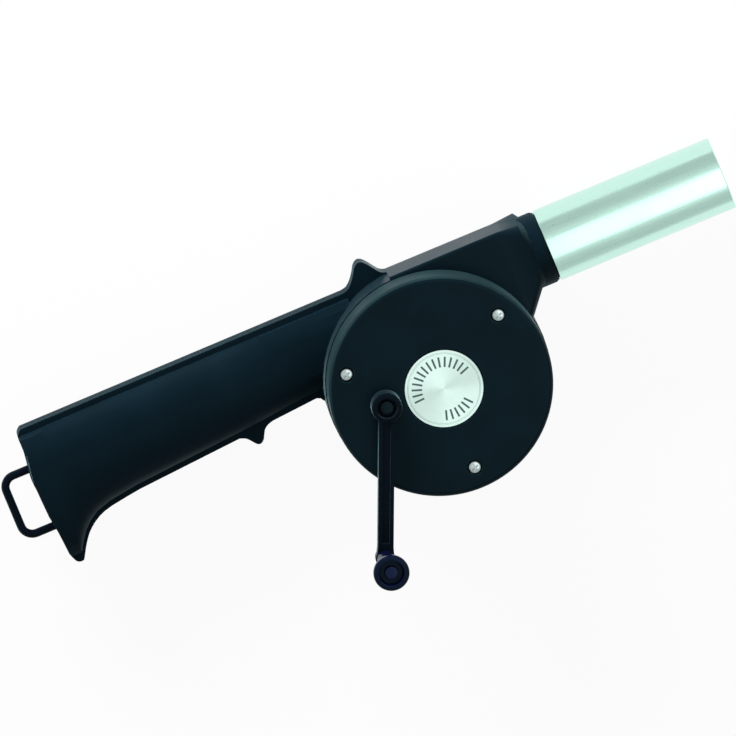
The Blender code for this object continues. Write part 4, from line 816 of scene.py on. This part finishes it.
class BLOWER_OT_screws(bpy.types.Operator):
    """Build the cross-head screws of the cover and of the housing's back"""

    bl_idname = "blower.screws"
    bl_label = "Screws"

    def execute(self, context):
        for node in COVER_SCREWS:
            self.build(node, 1.0)
        for node in BODY_SCREWS:
            self.build(node, -1.0)
        return {"FINISHED"}

    def build(self, node, direction):
        """One screw, its head on top for direction 1 and below for direction -1."""
        low, top = span(node, 2)
        spot = middle(node)
        radius = radius_of(node)
        length = top - low
        head = sizes().screw_head - FIT
        shank = sizes().screw_shank
        dome = SCREW_CROWN
        profile = [(0.0, 0.0), (radius * 0.45, -dome * 0.12), (radius * 0.72, -dome * 0.36),
                   (radius * 0.90, -dome * 0.75), (radius * 0.98, -dome * 1.25), (radius, -dome * 1.8),
                   (radius, -head), (shank, -head), (shank, SCREW_TIP - length), (shank * 0.35, -length),
                   (0.0, -length)]
        screw = turned(node + "_head", profile, SMALL_ROUND_STEPS)
        slot = Matrix.Diagonal((radius * 1.15, radius * 0.26, 2 * CROSS_DEPTH, 1.0))
        for angle in CROSS_ANGLES:
            cutter = bmesh.new()
            turn = Matrix.Rotation(math.radians(angle), 4, "Z")
            bmesh.ops.create_cube(cutter, size=1.0, matrix=turn @ slot)
            combine(screw, from_bmesh("cross", cutter), "DIFFERENCE")
        if direction > 0:
            screw.data.transform(Matrix.Translation((0.0, 0.0, top)))
        else:
            over = Matrix.Rotation(math.pi, 4, "X")
            screw.data.transform(Matrix.Translation((0.0, 0.0, low)) @ over)
        place(screw, node + "_head", "housing", "steel", [node],
              (spot.x, spot.y, 0.0))


class BLOWER_OT_inner_works(bpy.types.Operator):
    """Dress the impeller, gears, shafts and bushes"""

    bl_idname = "blower.inner_works"
    bl_label = "Impeller and gears"

    finishes = {
        "impeller": "grey_plastic",
        "drive_gear": "white_plastic",
        "idler_gear": "white_plastic",
        "impeller_pinion": "brass",
        "crank_bush_front": "brass",
        "crank_bush_rear": "brass",
        "impeller_bush_front": "brass",
        "impeller_bush_rear": "brass",
        "impeller_shaft": "shaft_steel",
        "crank_shaft": "shaft_steel",
        "idler_pin": "shaft_steel",
    }

    def execute(self, context):
        for node, kind in self.finishes.items():
            dress(node, kind)
        return {"FINISHED"}


class BLOWER_OT_stage(bpy.types.Operator):
    """Build the pale floor, the lamps, the surroundings and the camera"""

    bl_idname = "blower.stage"
    bl_label = "Studio"

    def execute(self, context):
        self.floor()
        self.lamps()
        self.surroundings()
        self.camera()
        context.scene.view_settings.view_transform = "Standard"
        return {"FINISHED"}

    def floor(self):
        bm = bmesh.new()
        bmesh.ops.create_grid(bm, x_segments=1, y_segments=1, size=3.0)
        floor = from_bmesh("studio_floor", bm, (0.0, 0.0, -0.0002))
        made = Shader("studio_floor")
        paper = made.noise(900.0, 2.0)
        tone = colours().floor
        made.feed(made.surface.inputs["Base Color"], made.blend(paper, shade(tone), tinted(tone, 1.02)))
        made.surface.inputs["Roughness"].default_value = 0.9
        made.surface.inputs["Specular IOR Level"].default_value = 0.1
        glow = made.add("ShaderNodeEmission", Color=(1.0, 1.0, 1.0, 1.0), Strength=1.0)
        rays = made.add("ShaderNodeLightPath")
        direct = made.maths("MAXIMUM", rays.outputs["Is Camera Ray"], rays.outputs["Is Glossy Ray"])
        seen = made.maths("MULTIPLY", direct, PAPER_GLOW)
        mixed = made.add("ShaderNodeMixShader")
        made.feed(mixed.inputs[0], seen)
        made.feed(mixed.inputs[1], made.surface.outputs["BSDF"])
        made.feed(mixed.inputs[2], glow.outputs["Emission"])
        made.links.new(mixed.outputs["Shader"], made.nodes["Material Output"].inputs["Surface"])
        floor.data.materials.append(made.material)

    def lamps(self):
        """A low key light from the upper side and a panel above the tube."""
        centre = Vector((0.0, 0.0, 0.03))
        key = self.panel("key_light", KEY_SPOT, KEY_EXTENT, studio().key_power, centre - Vector(KEY_SPOT))
        key.visible_glossy = False
        self.panel("overhead_panel", PANEL_SPOT, PANEL_EXTENT, studio().overhead_power,
                   Vector((0.0, 0.0, -1.0)))

    def panel(self, name, spot, extent, power, aim):
        """A rectangular lamp that shines along aim."""
        lamp = bpy.data.lights.new(name, "AREA")
        lamp.shape = "RECTANGLE"
        lamp.size, lamp.size_y = extent
        lamp.energy = power
        thing = bpy.data.objects.new(name, lamp)
        thing.location = spot
        thing.rotation_mode = "QUATERNION"
        thing.rotation_quaternion = aim.to_track_quat("-Z", "Y")
        bpy.context.scene.collection.objects.link(thing)
        return thing

    def surroundings(self):
        """White where the camera looks; for gloss, dimmer near the horizon than overhead."""
        world = bpy.data.worlds.new("studio_surroundings")
        bpy.context.scene.world = world
        world.use_nodes = True
        nodes, links = world.node_tree.nodes, world.node_tree.links
        background = nodes["Background"]
        rays = nodes.new("ShaderNodeLightPath")
        direction = nodes.new("ShaderNodeTexCoord")
        parts = nodes.new("ShaderNodeSeparateXYZ")
        links.new(direction.outputs["Generated"], parts.inputs["Vector"])
        height = nodes.new("ShaderNodeValToRGB")
        ramp = height.color_ramp
        ramp.elements[0].position = 0.55
        ramp.elements[0].color = (0.60, 0.60, 0.60, 1.0)
        ramp.elements[1].position = 0.92
        ramp.elements[1].color = (0.92, 0.92, 0.92, 1.0)
        links.new(parts.outputs["Z"], height.inputs["Fac"])
        soft = nodes.new("ShaderNodeMix")
        soft.data_type = "RGBA"
        level = studio().surroundings
        soft.inputs[6].default_value = (level, level, level, 1.0)
        links.new(rays.outputs["Is Glossy Ray"], soft.inputs[0])
        links.new(height.outputs["Color"], soft.inputs[7])
        seen = nodes.new("ShaderNodeMix")
        seen.data_type = "RGBA"
        seen.inputs[7].default_value = (1.0, 1.0, 1.0, 1.0)
        links.new(rays.outputs["Is Camera Ray"], seen.inputs[0])
        links.new(soft.outputs[2], seen.inputs[6])
        links.new(seen.outputs[2], background.inputs["Color"])

    def camera(self):
        setup = studio()
        data = bpy.data.cameras.new("studio_camera")
        data.sensor_width = 36.0
        data.lens = data.sensor_width * setup.camera_distance / setup.picture_width
        data.clip_start = 0.1
        data.clip_end = 40.0
        camera = bpy.data.objects.new("studio_camera", data)
        back = Vector((0.0, math.sin(setup.camera_tilt), math.cos(setup.camera_tilt)))
        level_up = Vector((0.0, math.cos(setup.camera_tilt), -math.sin(setup.camera_tilt)))
        up = Vector((math.sin(setup.camera_roll), 0.0, 0.0)) + level_up * math.cos(setup.camera_roll)
        right = up.cross(back)
        turn = Matrix((right, up, back)).transposed()
        spot = PICTURE_CENTRE + back * setup.camera_distance
        camera.matrix_world = Matrix.Translation(spot) @ turn.to_4x4()
        bpy.context.scene.collection.objects.link(camera)
        bpy.context.scene.camera = camera


PIECES = (BLOWER_OT_housing, BLOWER_OT_gear_cover, BLOWER_OT_metal_disc, BLOWER_OT_blow_tube,
          BLOWER_OT_hanging_ring, BLOWER_OT_crank_arm, BLOWER_OT_crank_knob, BLOWER_OT_screws,
          BLOWER_OT_inner_works, BLOWER_OT_stage)


class BLOWER_PT_pieces(bpy.types.Panel):
    """The blower's pieces with their sizes and colours"""

    bl_idname = "BLOWER_PT_pieces"
    bl_label = "Hand-cranked blower"
    bl_space_type = "VIEW_3D"
    bl_region_type = "UI"
    bl_category = SIDEBAR

    def draw(self, context):
        layout = self.layout
        for group in (sizes(), colours(), studio()):
            box = layout.box()
            for name in group.__annotations__:
                box.prop(group, name)
        for piece in PIECES:
            layout.operator(piece.bl_idname)


GROUPS = {"blower_sizes": BlowerSizes, "blower_colours": BlowerColours, "blower_studio": BlowerStudio}


def register():
    for kind in (*GROUPS.values(), *PIECES, BLOWER_PT_pieces):
        bpy.utils.register_class(kind)
    for name, kind in GROUPS.items():
        setattr(bpy.types.Scene, name, PointerProperty(type=kind))


def unregister():
    for name in GROUPS:
        delattr(bpy.types.Scene, name)
    for kind in (BLOWER_PT_pieces, *reversed(PIECES), *reversed(GROUPS.values())):
        bpy.utils.unregister_class(kind)


def main():
    for thing in list(bpy.data.objects):
        if thing.type in {"LIGHT", "CAMERA"}:
            bpy.data.objects.remove(thing, do_unlink=True)
    register()
    bpy.ops.blower.housing()
    bpy.ops.blower.gear_cover()
    bpy.ops.blower.metal_disc()
    bpy.ops.blower.blow_tube()
    bpy.ops.blower.hanging_ring()
    bpy.ops.blower.crank_arm()
    bpy.ops.blower.crank_knob()
    bpy.ops.blower.screws()
    bpy.ops.blower.inner_works()
    bpy.ops.blower.stage()


if __name__ == "__main__":
    main()
